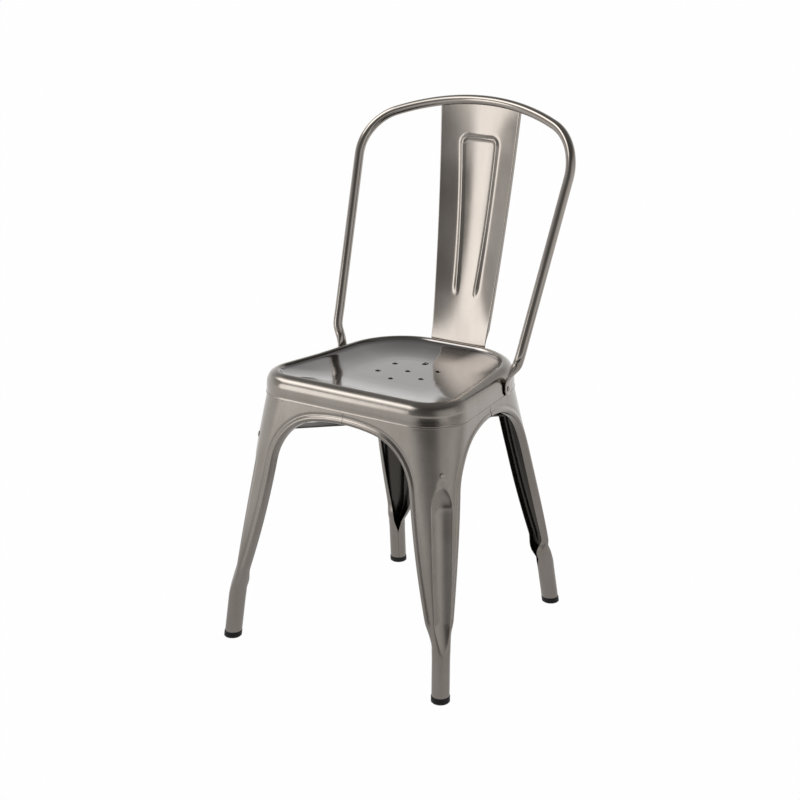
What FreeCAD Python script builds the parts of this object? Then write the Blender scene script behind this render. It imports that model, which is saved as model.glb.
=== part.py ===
import FreeCAD, Part
import math
import os
from FreeCAD import Vector

os.makedirs("parts", exist_ok=True)

# A stackable bistro chair of pressed and riveted sheet steel. Millimetres, +Z up.
# The chair faces -Y and +X is the sitter's left. Heights are from the floor.
# The working datum is near the middle of the seat. The finished pieces are moved in Y
# so that the origin is the middle of the base of the whole chair.

# Overall sizes
OVERALL_HEIGHT = 850.0
SEAT_HEIGHT = 448.0
FRONT_FOOT = (204.6, -200.3)
REAR_FOOT = (159.2, 212.4)

# Sheet and fits
SHEET = 1.2
FIT_GAP = 0.2
SEAM_GAP = 0.3

# Seat pan: outline of the skirt's lower edge, then the rim and the dish
SKIRT_BOTTOM = 412.0
SKIRT_FRONT = 164.3
SKIRT_REAR = 163.0
SIDE_NORMAL_DISTANCE = 165.9
SIDE_TAPER = math.radians(8.72)
FRONT_CORNER_RADIUS = 64.0
REAR_CORNER_RADIUS = 116.0
RIM_REAR_RISE = 4.5
RIM_CROWN_INSET = 19.5
RISE_START_Y = -20.0
DISH_DEPTH = 13.0
DISH_CENTRE_Y = 12.4
DISH_FLOOR_SHARE = 0.45
DRAIN_HOLE_RADIUS = 4.0
DRAIN_CIRCLE_RADIUS = 48.2
DRAIN_HOLES = 6

# Legs: pressed quarter shells that close into a round tube above the foot
TUBE_RADIUS = 13.9
TUBE_STEP = 0.45
TUBE_TOP = 88.0
LEG_TUCK_TOP = 418.0
ARCH_TOP = 393.0
SIDE_SEAM_Y = -7.5
LIP_RADIUS = 5.5
LIP_PROUD = 1.5
FLANGE_DEPTH = 11.0
NOTCH_APEX = 66.0
NOTCH_HALF_WIDTH = 5.0

# Arch edges. Radius and turn of the top arc, radius of the shoulder arc, lean of the leg's
# edge below it, and radius of the long slow curve that ends at the tube.
ARCHES = {
    ("front", "face"): (300.0, 11.0, 90.0, 9.0, 1400.0),
    ("front", "side"): (180.0, 18.0, 95.0, 10.5, 1800.0),
    ("rear", "face"): (180.0, 15.0, 44.0, 6.5, 1500.0),
    ("rear", "side"): (180.0, 18.0, 134.0, 14.0, 3000.0),
}
LIP_SHEET = 1.0
LIP_MERGE_FROM = 170.0
LIP_MERGE_TO = 91.0
LIP_END = 81.0
LIP_TAIL = 16.0
LIP_ROLL_END = math.radians(50.0)
LIP_TUBE_END = math.radians(203.0)
PANEL_EDGE = 12.6
EMBED = 0.1

# Flute down the outer corner of each leg
FLUTE_RADIUS = 22.0
FLUTE_DEPTH = 8.0
FLUTE_BOTTOM = 77.0
FLUTE_FULL_FROM = 125.0
FLUTE_FULL_TO = 314.0
FLUTE_TOP = 328.0

# Feet
CAP_RADIUS = 14.6
CAP_HEIGHT = 10.0
CAP_CHAMFER = 1.6
CAP_FLOOR = 4.0
CAP_PLUG_TOP = 14.0
SLEEVE_TOP = 56.0
SLEEVE_WALL = 1.0
CLEARANCE = 0.1

# Back hoop of round tube. The sides, corners and top lie in a leaning plane, and the top
# also bows backwards. Each end is flattened into a tab that is riveted to the skirt.
HOOP_TUBE_RADIUS = 7.85
HOOP_WALL = 1.5
HOOP_HALF_WIDTH = 176.65
HOOP_FLARE = math.radians(4.67)
HOOP_STRAIGHT = 293.5
HOOP_CORNER_RADIUS = 76.5
HOOP_TOP_RADIUS = 440.0
HOOP_LEAN = math.radians(20.0)
HOOP_BOW = 30.0
HOOP_START_Y = 60.5
HOOP_RIVET_Y = 54.0
HOOP_RIVET_Z = 423.0
HOOP_RIVET_RADIUS = 2.4
HOOP_HEAD_RADIUS = 4.5
SKIRT_LEAN = 2.0
TAB_HALF_WIDTH = 10.5
TAB_HALF_THICKNESS = 1.5

# Flattened foot of the hoop: height above the rivet, shares of the way out and back to the
# start of the straight tube, half width and half thickness.
HOOP_FOOT = (
    (-TAB_HALF_WIDTH - 1, 0.0, 0.0, TAB_HALF_WIDTH, TAB_HALF_THICKNESS),
    (7.0, 0.0, 0.0, TAB_HALF_WIDTH, TAB_HALF_THICKNESS),
    (15.0, 0.08, 0.16, 10.2, 2.4),
    (23.0, 0.22, 0.38, 9.4, 4.6),
    (31.0, 0.45, 0.64, 8.4, 6.9),
    (39.0, 0.74, 0.87, HOOP_TUBE_RADIUS, HOOP_TUBE_RADIUS),
)

# Back splat
SPLAT_TOP_HALF_WIDTH = 75.5
SPLAT_BOTTOM_HALF_WIDTH = 53.0
SPLAT_BEND_Z = 449.0
SPLAT_BEND_Y = 159.0
SPLAT_FOOT_Z = 419.0
SPLAT_FLANGE = 6.0
SPLAT_MID_HOLLOW = 9.0
SPLAT_SIDE_BOW = 5.0
SPLAT_TOP_GAP = 0.45
BEAD_RADIUS = 4.6
BEAD_DEPTH = 2.6
BEAD_TOP = 780.0
BEAD_BOTTOM = 528.0
BEAD_TOP_HALF_WIDTH = 32.0
BEAD_BOTTOM_HALF_WIDTH = 17.5
BEAD_CORNER_RADIUS = 9.0

# Cross brace under the seat: two straps with their ends bent down against the legs
STRAP_WIDTH = 20.0
STRAP_THICKNESS = 2.5
STRAP_END = 30.0
LOWER_STRAP_Z = 348.0
BRACE_RIVET_DROP = 5.0
BRACE_TAB_DROP = 13.0
BRACE_RIVET_RADIUS = 2.5
BRACE_HEAD_RADIUS = 4.5
RIVET_CROWN = 1.4

FACE_NORMAL = {"front": Vector(0, -1, 0), "rear": Vector(0, 1, 0)}
SIDE_NORMAL = Vector(math.cos(SIDE_TAPER), math.sin(SIDE_TAPER), 0)
SIDE_RUN = Vector(-math.sin(SIDE_TAPER), math.cos(SIDE_TAPER), 0)
FOOT = {"front": FRONT_FOOT, "rear": REAR_FOOT}
SKIRT_FACE = {"front": SKIRT_FRONT, "rear": SKIRT_REAR}
SKIRT_CORNER = {"front": FRONT_CORNER_RADIUS, "rear": REAR_CORNER_RADIUS}
LEG_INSET = SHEET + FIT_GAP
LOW_RADIUS = TUBE_RADIUS + TUBE_STEP


def mirrored(shape):
    return shape.mirror(Vector(0, 0, 0), Vector(1, 0, 0))


def outward(solid):
    """The solid with its faces looking outwards."""
    if solid.Volume < 0:
        solid.reverse()
    return solid


def joined_faces(faces):
    """Sew faces that share their edges into one closed solid."""
    shell = Part.makeCompound(faces)
    shell.sewShape(0.02)
    return outward(Part.Solid(shell.Shells[0]))


def line(start, end):
    return Part.makeLine(start, end)


def smooth_edges(points):
    """Smooth edges through each run of three points in a row."""
    edges = []
    for index in range(0, len(points) - 2, 2):
        curve = Part.BSplineCurve()
        curve.interpolate(points[index : index + 3])
        edges.append(curve.toShape())
    return edges


def bent_sheet(outer, inner):
    """Sheet between two grids of points: smooth along each row, straight from row to row."""
    skins = [[smooth_edges(row) for row in grid] for grid in (outer, inner)]
    pairs = [(skins[0][0], skins[1][0]), (skins[0][-1], skins[1][-1])]
    for skin in skins:
        pairs += list(zip(skin[:-1], skin[1:]))
    faces = [Part.makeRuledSurface(*edges) for pair in pairs for edges in zip(*pair)]
    for end in (0, -1):
        for index in range(len(outer) - 1):
            outside = line(outer[index][end], outer[index + 1][end])
            inside = line(inner[index][end], inner[index + 1][end])
            faces.append(Part.makeRuledSurface(outside, inside))
    return joined_faces(faces)


def plan(angle):
    return Vector(math.cos(angle), math.sin(angle), 0)


def at_height(point, z):
    return Vector(point.x, point.y, z)


# Seat pan


def corner_centre(end, inset):
    """Centre of the skirt's corner arc, tangent to the straight face and to the side."""
    radius = SKIRT_CORNER[end]
    y = FACE_NORMAL[end].y * (SKIRT_FACE[end] - radius)
    x = (SIDE_NORMAL_DISTANCE - radius - SIDE_NORMAL.y * y) / SIDE_NORMAL.x
    return Vector(x, y, 0), radius - inset


def rear_rise(y):
    """The rim climbs gently from the middle of the sides to its crown at the back."""
    crown = SKIRT_REAR - RIM_CROWN_INSET
    return RIM_REAR_RISE * max(y - RISE_START_Y, 0) / (crown - RISE_START_Y)


# Inset from the skirt's edge, height below the rim, and how much of the rear rise applies
RIM_PROFILE = (
    (0.0, 36.0, 0.0),
    (0.6, 26.0, 0.1),
    (3.0, 16.0, 0.5),
    (8.5, 6.6, 0.9),
    (14.5, 1.6, 1.0),
    (18.6, 0.1, 1.0),
    (21.2, 0.5, 1.0),
    (24.2, 3.4, 1.0),
    (29.0, 5.6, 0.9),
)
DISH_SHARES = (0.62, 0.3, 0.0)


def rim_level(offset):
    """Insets and heights of the rim's profile, moved inwards square to the sheet."""
    rows = []
    for index, (inset, drop, rise) in enumerate(RIM_PROFILE):
        before = RIM_PROFILE[max(index - 1, 0)]
        after = RIM_PROFILE[min(index + 1, len(RIM_PROFILE) - 1)]
        run = Vector(after[0] - before[0], 0, before[1] - after[1]).normalize()
        shift = Vector(run.z, 0, -run.x) * offset
        if index == 0:
            shift = Vector(offset, 0, -offset)
        rows.append((inset + shift.x, SEAT_HEIGHT - drop + shift.z, rise))
    return rows


def outline_wire(inset, z, rise, floor_z, share):
    """Closed line round the pan at an inset. Below share 1 it is drawn in over the dish."""
    front, front_radius = corner_centre("front", inset)
    rear, rear_radius = corner_centre("rear", inset)
    middle = (SIDE_TAPER - math.pi / 2) / 2
    corner = front + SIDE_NORMAL * front_radius
    rear_middle = (SIDE_TAPER + math.pi / 2) / 2
    right = [
        Vector(front.x, front.y - front_radius, 0),
        front + plan(middle) * front_radius,
        corner,
        corner + SIDE_RUN * ((RISE_START_Y - corner.y) / SIDE_RUN.y),
        rear + SIDE_NORMAL * rear_radius,
        rear + plan(rear_middle) * rear_radius,
        Vector(rear.x, rear.y + rear_radius, 0),
    ]
    size = DISH_FLOOR_SHARE + (1 - DISH_FLOOR_SHARE) * share
    centre = Vector(0, DISH_CENTRE_Y, 0)
    spots = []
    for point in right:
        edge_z = z + rise * rear_rise(point.y)
        place = centre + (point - centre) * size
        spots.append(at_height(place, floor_z + (edge_z - floor_z) * share * share))
    left = [Vector(-spot.x, spot.y, spot.z) for spot in spots]
    edges = [line(left[0], spots[0])]
    edges += [Part.Arc(*spots[0:3]).toShape(), line(spots[2], spots[3]), line(spots[3], spots[4])]
    edges += [Part.Arc(*spots[4:7]).toShape(), line(spots[6], left[6])]
    edges += [Part.Arc(*left[6:3:-1]).toShape(), line(left[4], left[3]), line(left[3], left[2])]
    edges += [Part.Arc(*left[2::-1]).toShape()]
    return Part.Wire(edges)


def pan_block(offset):
    """Everything under the pan's top skin, or under its lower skin at the sheet's offset."""
    floor_z = SEAT_HEIGHT - DISH_DEPTH - offset
    rows = rim_level(offset)
    wires = [outline_wire(*row, floor_z, 1.0) for row in rows]
    wires += [outline_wire(*rows[-1], floor_z, share) for share in DISH_SHARES]
    return Part.makeLoft(wires, True, True)


def drain_hole(place):
    return Part.makeCylinder(DRAIN_HOLE_RADIUS, 60, at_height(place, SEAT_HEIGHT - 40))


def seat_pan():
    pan = pan_block(0).cut(pan_block(SHEET))
    middle = Vector(0, DISH_CENTRE_Y, 0)
    pan = pan.cut(drain_hole(middle))
    for index in range(DRAIN_HOLES):
        angle = math.pi / DRAIN_HOLES + index * 2 * math.pi / DRAIN_HOLES
        pan = pan.cut(drain_hole(middle + plan(angle) * DRAIN_CIRCLE_RADIUS))
    for side in (1, -1):
        pan = pan.cut(hoop_rivet_hole(side))
    return pan


# Legs. Every section is two straight faces joined by a corner arc. The faces are planes
# and the arc's radius shrinks evenly from the skirt down to the tube.


class Leg:
    def __init__(self, end):
        self.end = end
        self.face = FACE_NORMAL[end]
        self.turn = 1 if end == "front" else -1
        self.face_angle = -math.pi / 2 if end == "front" else math.pi / 2
        self.span = self.turn * (SIDE_TAPER - self.face_angle)
        self.foot = Vector(FOOT[end][0], FOOT[end][1], 0)
        self.top = at_height(corner_centre(end, LEG_INSET)[0], SKIRT_BOTTOM)
        self.top_radius = SKIRT_CORNER[end] - LEG_INSET
        top_side = self.top + SIDE_NORMAL * self.top_radius
        # Along the side face, from the seam towards the corner
        self.side_run = SIDE_RUN * (-self.turn)
        seam = top_side + SIDE_RUN * ((SIDE_SEAM_Y - top_side.y) / SIDE_RUN.y)
        self.seam = SIDE_RUN * seam.dot(SIDE_RUN)

    def reach(self, normal, z):
        """Distance of the leg's outer skin from the datum along a plan direction."""
        share = (SKIRT_BOTTOM - z) / SKIRT_BOTTOM
        start = at_height(self.top, 0).dot(normal) + self.top_radius
        return start + (self.foot.dot(normal) + LOW_RADIUS - start) * share

    def radius(self, z):
        share = max(z - TUBE_TOP, 0) / (SKIRT_BOTTOM - TUBE_TOP)
        return LOW_RADIUS + (self.top_radius - LOW_RADIUS) * share

    def centre(self, z):
        radius = self.radius(z)
        y = self.face.y * (self.reach(self.face, z) - radius)
        x = (self.reach(SIDE_NORMAL, z) - radius - SIDE_NORMAL.y * y) / SIDE_NORMAL.x
        return Vector(x, y, z)

    def corner_normal(self, turn):
        return plan(self.face_angle + self.turn * turn)

    def skin_normal(self, normal, z):
        """Outward normal of the skin, which leans because the leg splays."""
        def support(height):
            centre = self.centre(height)
            return centre.dot(normal) + self.radius(height)

        slope = support(z - 1) - support(z)
        return Vector(normal.x, normal.y, slope).normalize()

    def face_skin(self, along, z):
        """Skin at a distance from the middle seam, measured round the front or rear face."""
        centre = self.centre(z)
        if along <= centre.x:
            return at_height(Vector(along, centre.y, 0) + self.face * self.radius(z), z), self.face
        normal = self.corner_normal((along - centre.x) / self.radius(z))
        return centre + normal * self.radius(z), normal

    def side_skin(self, along, z):
        """Skin at a distance from the side seam, measured round the side face."""
        centre = self.centre(z)
        flat = (centre - self.seam).dot(self.side_run)
        if along <= flat:
            place = self.seam + self.side_run * along + SIDE_NORMAL * self.reach(SIDE_NORMAL, z)
            return at_height(place, z), SIDE_NORMAL
        normal = self.corner_normal(self.span - (along - flat) / self.radius(z))
        return centre + normal * self.radius(z), normal

    def section(self, z, inset):
        """Seam end, arc start, arc middle, arc end and side seam end of a section."""
        centre = self.centre(z)
        radius = self.radius(z) - inset
        arc = [centre + self.corner_normal(self.span * share) * radius for share in (0, 0.5, 1)]
        half_gap = SEAM_GAP / 2
        face_end = Vector(half_gap, arc[0].y, z)
        side_end = self.seam + self.side_run * half_gap + SIDE_NORMAL * arc[2].dot(SIDE_NORMAL)
        return [face_end] + arc + [at_height(side_end, z)]


def skin_edges(points):
    return [line(points[0], points[1]), Part.Arc(*points[1:4]).toShape(), line(points[3], points[4])]


def panel_wire(leg, z):
    outer = leg.section(z, 0)
    inner = leg.section(z, SHEET)[::-1]
    edges = skin_edges(outer) + [line(outer[-1], inner[0])]
    edges += skin_edges(inner) + [line(inner[-1], outer[0])]
    return Part.Wire(edges)


def filled_wire(leg, z):
    outer = leg.section(z, 0)
    inside = Vector(outer[0].x, outer[-1].y, z)
    edges = skin_edges(outer) + [line(outer[-1], inside), line(inside, outer[0])]
    return Part.Wire(edges)


def arch(radii, turns, steps):
    """An arch edge from its top as a run of tangent arcs: distance out, height and heading."""
    out, z, heading = SEAM_GAP / 2, ARCH_TOP, 0.0
    stations = [(out, z, heading)]
    for radius, turn, count in zip(radii, turns, steps):
        part = turn / count
        chord = 2 * radius * math.sin(abs(part) / 2)
        for _ in range(count):
            out += chord * math.cos(heading - part / 2)
            z += chord * math.sin(heading - part / 2)
            heading -= part
            stations.append((out, z, heading))
    return stations


def leg_arch(end, place):
    top_radius, top_turn, shoulder_radius, lean, slow_radius = ARCHES[(end, place)]
    top_turn, lean = math.radians(top_turn), math.radians(lean)
    shoulder_turn = math.pi / 2 - lean - top_turn
    radii = (top_radius, shoulder_radius, slow_radius)
    shoulder_foot = arch(radii, (top_turn, shoulder_turn), (1, 7))[-1][1]
    slow_turn = math.asin(math.sin(lean) + (shoulder_foot - LIP_END) / slow_radius) - lean
    return arch(radii, (top_turn, shoulder_turn, -slow_turn), (1, 7, 7))


def merge_share(z):
    """How far the lip has opened into the round of the tube, from 0 above to 1 at the tube."""
    share = min(max((LIP_MERGE_FROM - z) / (LIP_MERGE_FROM - LIP_MERGE_TO), 0), 1)
    return share * share * (3 - 2 * share)


def rolled_lip(length):
    """Point at a length along the rolled lip: flange, round roll, then a valley to the panel."""
    straight = FLANGE_DEPTH + LIP_PROUD - LIP_RADIUS
    roll = LIP_RADIUS * (math.pi - LIP_ROLL_END)
    if length < straight:
        return 0.0, length - FLANGE_DEPTH
    if length < straight + roll:
        angle = math.pi - (length - straight) / LIP_RADIUS
        across = LIP_RADIUS * (1 + math.cos(angle))
        return across, LIP_PROUD - LIP_RADIUS + LIP_RADIUS * math.sin(angle)
    start = (LIP_RADIUS * (1 + math.cos(LIP_ROLL_END)), 0)
    start = (start[0], LIP_PROUD - LIP_RADIUS + LIP_RADIUS * math.sin(LIP_ROLL_END))
    reach = LIP_TAIL - start[0]
    share = min((length - straight - roll) / reach, 1)
    slope = -reach / math.tan(LIP_ROLL_END)
    out = start[1] * (1 + 2 * share) * (1 - share) ** 2
    out += slope * share * (1 - share) ** 2 - EMBED * share * share * (3 - 2 * share)
    return start[0] + reach * share, out


def tube_wall(length):
    """Point at a length along the lip where it has opened into the wall of the round tube."""
    radius = LOW_RADIUS - 1.5 * EMBED
    angle = LIP_TUBE_END - length / radius
    if angle > math.pi / 2:
        return LOW_RADIUS + radius * math.cos(angle), radius * math.sin(angle) - LOW_RADIUS
    return LOW_RADIUS + length - radius * (LIP_TUBE_END - math.pi / 2), -1.5 * EMBED


def lip_profile(share):
    """Section of the lip from the flange's end to the tail inside the panel, as (across, out)."""
    straight = FLANGE_DEPTH + LIP_PROUD - LIP_RADIUS
    roll = LIP_RADIUS * (math.pi - LIP_ROLL_END)
    tail = LIP_TAIL - LIP_RADIUS * (1 + math.cos(LIP_ROLL_END))
    rolled_lengths = [0, straight / 2, straight]
    rolled_lengths += [straight + roll * step / 4 for step in range(1, 5)]
    rolled_lengths += [straight + roll + tail / 2, straight + roll + tail]
    tube_length = (LOW_RADIUS - 1.5 * EMBED) * (LIP_TUBE_END - math.pi / 2)
    tube_length += LIP_TAIL - LOW_RADIUS
    blend = []
    for step, length in enumerate(rolled_lengths):
        low = rolled_lip(length)
        high = tube_wall(tube_length * step / (len(rolled_lengths) - 1))
        blend.append((low[0] + (high[0] - low[0]) * share, low[1] + (high[1] - low[1]) * share))
    return blend


def inner_profile(profile):
    inner = []
    for index, (across, out) in enumerate(profile):
        before = profile[max(index - 1, 0)]
        after = profile[min(index + 1, len(profile) - 1)]
        length = math.hypot(after[0] - before[0], after[1] - before[1])
        toward = ((after[1] - before[1]) / length, (before[0] - after[0]) / length)
        inner.append((across + toward[0] * LIP_SHEET, out + toward[1] * LIP_SHEET))
    return inner


def lip_edge(leg, place, station):
    """Edge of the arch at a station, with the direction away from the opening."""
    out, z, heading = station
    share = merge_share(z)
    centre = leg.centre(z)
    if place == "face":
        tube_edge = centre.x - LOW_RADIUS
    else:
        tube_edge = (centre - leg.seam).dot(leg.side_run) - LOW_RADIUS
    out += (tube_edge - out) * share
    away = (-math.sin(heading) * (1 - share) + share, math.cos(heading) * (1 - share))
    return out, z, away, share


def on_skin(leg, place, edge, across, outward):
    out, z, away, _ = edge
    skin = leg.face_skin if place == "face" else leg.side_skin
    point, normal = skin(out + across * away[0], z + across * away[1])
    return point + leg.skin_normal(normal, point.z) * outward


def arch_lip(leg, place):
    grids = ([], [])
    for station in leg_arch(leg.end, place):
        edge = lip_edge(leg, place, station)
        profile = lip_profile(edge[3])
        for grid, section in zip(grids, (profile, inner_profile(profile))):
            grid.append([on_skin(leg, place, edge, *spot) for spot in section])
    return bent_sheet(*grids)


def arch_cutter(leg, place):
    """Prism that opens the arch in the leg's flat panel, just under the lip."""
    across = leg.face if place == "face" else SIDE_NORMAL
    points = []
    for station in leg_arch(leg.end, place):
        point = on_skin(leg, place, lip_edge(leg, place, station), PANEL_EDGE, 0)
        points.append(point - across * point.dot(across))
    curve = Part.BSplineCurve()
    curve.interpolate(points)
    inward = Vector(-1, 0, 0) if place == "face" else leg.side_run * -1
    past_seam = points[0] + inward * 20
    low = at_height(points[-1], TUBE_TOP - 30)
    low_seam = at_height(past_seam, TUBE_TOP - 30)
    edges = [
        curve.toShape(),
        line(points[-1], low),
        line(low, low_seam),
        line(low_seam, past_seam),
        line(past_seam, points[0]),
    ]
    face = Part.Face(Part.Wire(edges))
    start = leg.centre(TUBE_TOP).dot(across) - 75
    face.translate(across * start)
    return face.extrude(across * 150)


def leaning_round(leg, low, high, radius):
    """Round bar along the leg's lower axis, cut level at both heights."""
    foot = leg.centre(low)
    along = (leg.centre(TUBE_TOP) - leg.centre(0)).normalize()
    spare = radius / 4
    bar = Part.makeCylinder(radius, high - low + 3 * spare, foot - along * spare, along)
    size = 6 * radius
    block = Part.makeBox(size, size, high - low, foot - Vector(size / 2, size / 2, 0))
    return bar.common(block)


def oblique_round(leg, levels):
    """Round solid about the leg's corner axis with a level circle at each height."""
    circles = []
    for z, radius in levels:
        circle = Part.Circle(leg.centre(z), Vector(0, 0, 1), radius)
        circles.append(Part.Wire(circle.toShape()))
    return Part.makeLoft(circles, True, True)


def corner_point(leg, z):
    bisector = leg.corner_normal(leg.span / 2)
    return leg.centre(z) + bisector * leg.radius(z)


def flute_bar(leg, grow):
    """Round bar that leaves the flute: a cone below, a plain length, and a rounded upper end."""
    low, high = corner_point(leg, TUBE_TOP), corner_point(leg, SKIRT_BOTTOM)
    along = (high - low).normalize()
    outward = leg.corner_normal(leg.span / 2)
    outward = (outward - along * outward.dot(along)).normalize()
    full = FLUTE_RADIUS + grow
    touch = FLUTE_RADIUS - FLUTE_DEPTH
    shift = outward * touch

    def along_at(z):
        return (z - low.z) / along.z

    bottom = along_at(FLUTE_BOTTOM - grow * 4)
    top = along_at(FLUTE_TOP + grow)
    full_from, full_to = along_at(FLUTE_FULL_FROM), along_at(FLUTE_FULL_TO)
    middle = Vector(touch + (full - touch) * 0.75, 0, full_to + (top - full_to) * 0.65)
    edges = [
        line(Vector(0, 0, bottom), Vector(touch, 0, bottom)),
        line(Vector(touch, 0, bottom), Vector(full, 0, full_from)),
        line(Vector(full, 0, full_from), Vector(full, 0, full_to)),
        line(Vector(full, 0, full_to), middle),
        line(middle, Vector(touch, 0, top)),
        line(Vector(touch, 0, top), Vector(0, 0, top)),
        line(Vector(0, 0, top), Vector(0, 0, bottom)),
    ]
    bar = Part.Face(Part.Wire(edges)).revolve(Vector(0, 0, 0), Vector(0, 0, 1), 360)
    turn = FreeCAD.Rotation(Vector(0, 0, 1), along)
    bar.Placement = FreeCAD.Placement(low + shift, turn)
    return bar


def seam_notch(leg):
    """V notch in the tube's inner side, where the two lips run together."""
    inward = leg.corner_normal(leg.span / 2) * -1
    sideways = Vector(-inward.y, inward.x, 0)
    centre = leg.centre(TUBE_TOP)
    apex = at_height(leg.centre(NOTCH_APEX), NOTCH_APEX)
    top = TUBE_TOP + 1
    corners = [apex, at_height(centre + sideways * NOTCH_HALF_WIDTH, top)]
    corners.append(at_height(centre - sideways * NOTCH_HALF_WIDTH, top))
    wire = Part.makePolygon(corners + [corners[0]])
    return Part.Face(wire).extrude(inward * 30)


def leg_shell(end):
    """The leg on +X: quarter shell, rolled arch lips, pressed flute and closed tube."""
    leg = Leg(end)
    heights = (TUBE_TOP, LEG_TUCK_TOP)
    panel = Part.makeLoft([panel_wire(leg, z) for z in heights], True, True)
    for place in ("face", "side"):
        panel = panel.cut(arch_cutter(leg, place))
    filled = Part.makeLoft([filled_wire(leg, z) for z in heights], True, True)
    outside = leaning_round(leg, CAP_FLOOR, TUBE_TOP, TUBE_RADIUS)
    hollow = leaning_round(leg, CAP_FLOOR - 1, TUBE_TOP + 1, TUBE_RADIUS - SHEET)
    tube = outside.cut(hollow).cut(seam_notch(leg))
    lips = [arch_lip(leg, place) for place in ("face", "side")]
    swelling = flute_bar(leg, SHEET)
    inner_bumps = [swelling.common(filled), swelling.common(outside)]
    shell = panel.fuse([tube] + lips + inner_bumps)
    shell = shell.cut(flute_bar(leg, 0))
    return shell.cut(brace_rivet_hole(leg))


def brace_end(leg):
    """Point on the leg's outer corner at the height of the brace rivet, and the axis there."""
    z = LOWER_STRAP_Z - BRACE_RIVET_DROP
    return corner_point(leg, z), leg.skin_normal(leg.corner_normal(leg.span / 2), z)


def brace_rivet_hole(leg):
    point, axis = brace_end(leg)
    return Part.makeCylinder(BRACE_RIVET_RADIUS + CLEARANCE, 30, point + axis * 5, axis * -1)


# Feet


def foot_cap(leg):
    """Rubber cap with a chamfered base, a rim round the tube and a plug inside the sleeve."""
    chamfered = CAP_RADIUS - CAP_CHAMFER
    levels = ((0, chamfered), (CAP_CHAMFER, CAP_RADIUS), (CAP_HEIGHT, CAP_RADIUS))
    outside = oblique_round(leg, levels)
    socket = leaning_round(leg, CAP_FLOOR, CAP_HEIGHT + 1, TUBE_RADIUS + CLEARANCE)
    plug_radius = TUBE_RADIUS - SHEET - SLEEVE_WALL - 3 * CLEARANCE
    plug = leaning_round(leg, CAP_FLOOR - 1, CAP_PLUG_TOP, plug_radius)
    return outside.cut(socket).fuse(plug)


def foot_sleeve(leg):
    radius = TUBE_RADIUS - SHEET - CLEARANCE
    bore = leaning_round(leg, CAP_FLOOR - 1, SLEEVE_TOP + 1, radius - SLEEVE_WALL)
    return leaning_round(leg, CAP_FLOOR, SLEEVE_TOP, radius).cut(bore)


# Rivets


def rivet(seat, axis, grip, radius, head_radius):
    """Shank with a low domed head at each end. The outer head sits on the seat point."""
    rise = RIVET_CROWN * 0.6
    spots = [
        (0, RIVET_CROWN),
        (head_radius * 0.6, RIVET_CROWN),
        (head_radius, RIVET_CROWN - rise),
        (head_radius, 0),
        (radius, 0),
        (radius, -grip),
        (head_radius, -grip),
        (head_radius, -grip - RIVET_CROWN + rise),
        (head_radius * 0.6, -grip - RIVET_CROWN),
        (0, -grip - RIVET_CROWN),
        (0, RIVET_CROWN),
    ]
    profile = Part.makePolygon([Vector(x, 0, z) for x, z in spots])
    solid = Part.Face(profile).revolve(Vector(0, 0, 0), Vector(0, 0, 1), 360)
    solid.Placement = FreeCAD.Placement(seat, FreeCAD.Rotation(Vector(0, 0, 1), axis))
    return solid


def brace_end_rivet(leg):
    point, axis = brace_end(leg)
    grip = LEG_INSET + STRAP_THICKNESS + 2 * FIT_GAP
    return rivet(point, axis, grip, BRACE_RIVET_RADIUS, BRACE_HEAD_RADIUS)


# Cross brace


def brace_corner(end, z, inset):
    leg = Leg(end)
    return leg.centre(z) + leg.corner_normal(leg.span / 2) * (leg.radius(z) - inset)


def strap(level):
    """Strap from the front leg on +X to the rear leg on -X, with each end bent down."""
    tab_foot = LOWER_STRAP_Z - BRACE_TAB_DROP
    near = brace_corner("front", level, SHEET)
    far = brace_corner("rear", level, SHEET)
    far.x = -far.x
    run = at_height(near - far, 0).normalize()
    across = Vector(-run.y, run.x, 0)

    def block(start, length, low, high):
        corner = at_height(start - across * (STRAP_WIDTH / 2), low)
        box = Part.makeBox(length, STRAP_WIDTH, high - low)
        turn = FreeCAD.Rotation(Vector(0, 0, 1), math.degrees(math.atan2(run.y, run.x)))
        box.Placement = FreeCAD.Placement(corner, turn)
        return box

    top = level + STRAP_THICKNESS
    length = at_height(near - far, 0).Length
    body = block(far + run * STRAP_END, length - 2 * STRAP_END, level, top)
    for end, place in (("front", near - run * STRAP_END), ("rear", far - run * STRAP_END)):
        leg = Leg(end)
        rounds = []
        for inset in (LEG_INSET, LEG_INSET + STRAP_THICKNESS):
            levels = [(z, leg.radius(z) - inset) for z in (tab_foot - 1, top + 1)]
            cone = oblique_round(leg, levels)
            rounds.append(cone if end == "front" else mirrored(cone))
        flat = block(place, 2 * STRAP_END, level, top).common(rounds[0])
        tab = block(place, 2 * STRAP_END, tab_foot, top).common(rounds[0]).cut(rounds[1])
        hole = brace_rivet_hole(leg)
        keep = [solid for solid in tab.Solids if on_end_side(solid, run, end)]
        body = body.fuse([flat] + keep)
        body = body.cut(hole if end == "front" else mirrored(hole))
    centre_hole = Part.makeCylinder(BRACE_RIVET_RADIUS + CLEARANCE, 20, brace_crossing(level - 5))
    return body.cut(centre_hole)


def on_end_side(solid, run, end):
    """True for the piece of a ring that lies towards its own end of the strap."""
    leg = Leg(end)
    centre = leg.centre(LOWER_STRAP_Z)
    if end == "rear":
        centre.x = -centre.x
    outward = (solid.CenterOfMass - centre).dot(run)
    return outward > 0 if end == "front" else outward < 0


def brace_crossing(z):
    """Point at the middle of the chair's width where the two straps cross."""
    near = brace_corner("front", LOWER_STRAP_Z, SHEET)
    far = brace_corner("rear", LOWER_STRAP_Z, SHEET)
    share = near.x / (near.x + far.x)
    return Vector(0, near.y + (far.y - near.y) * share, z)


# Back hoop


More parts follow.
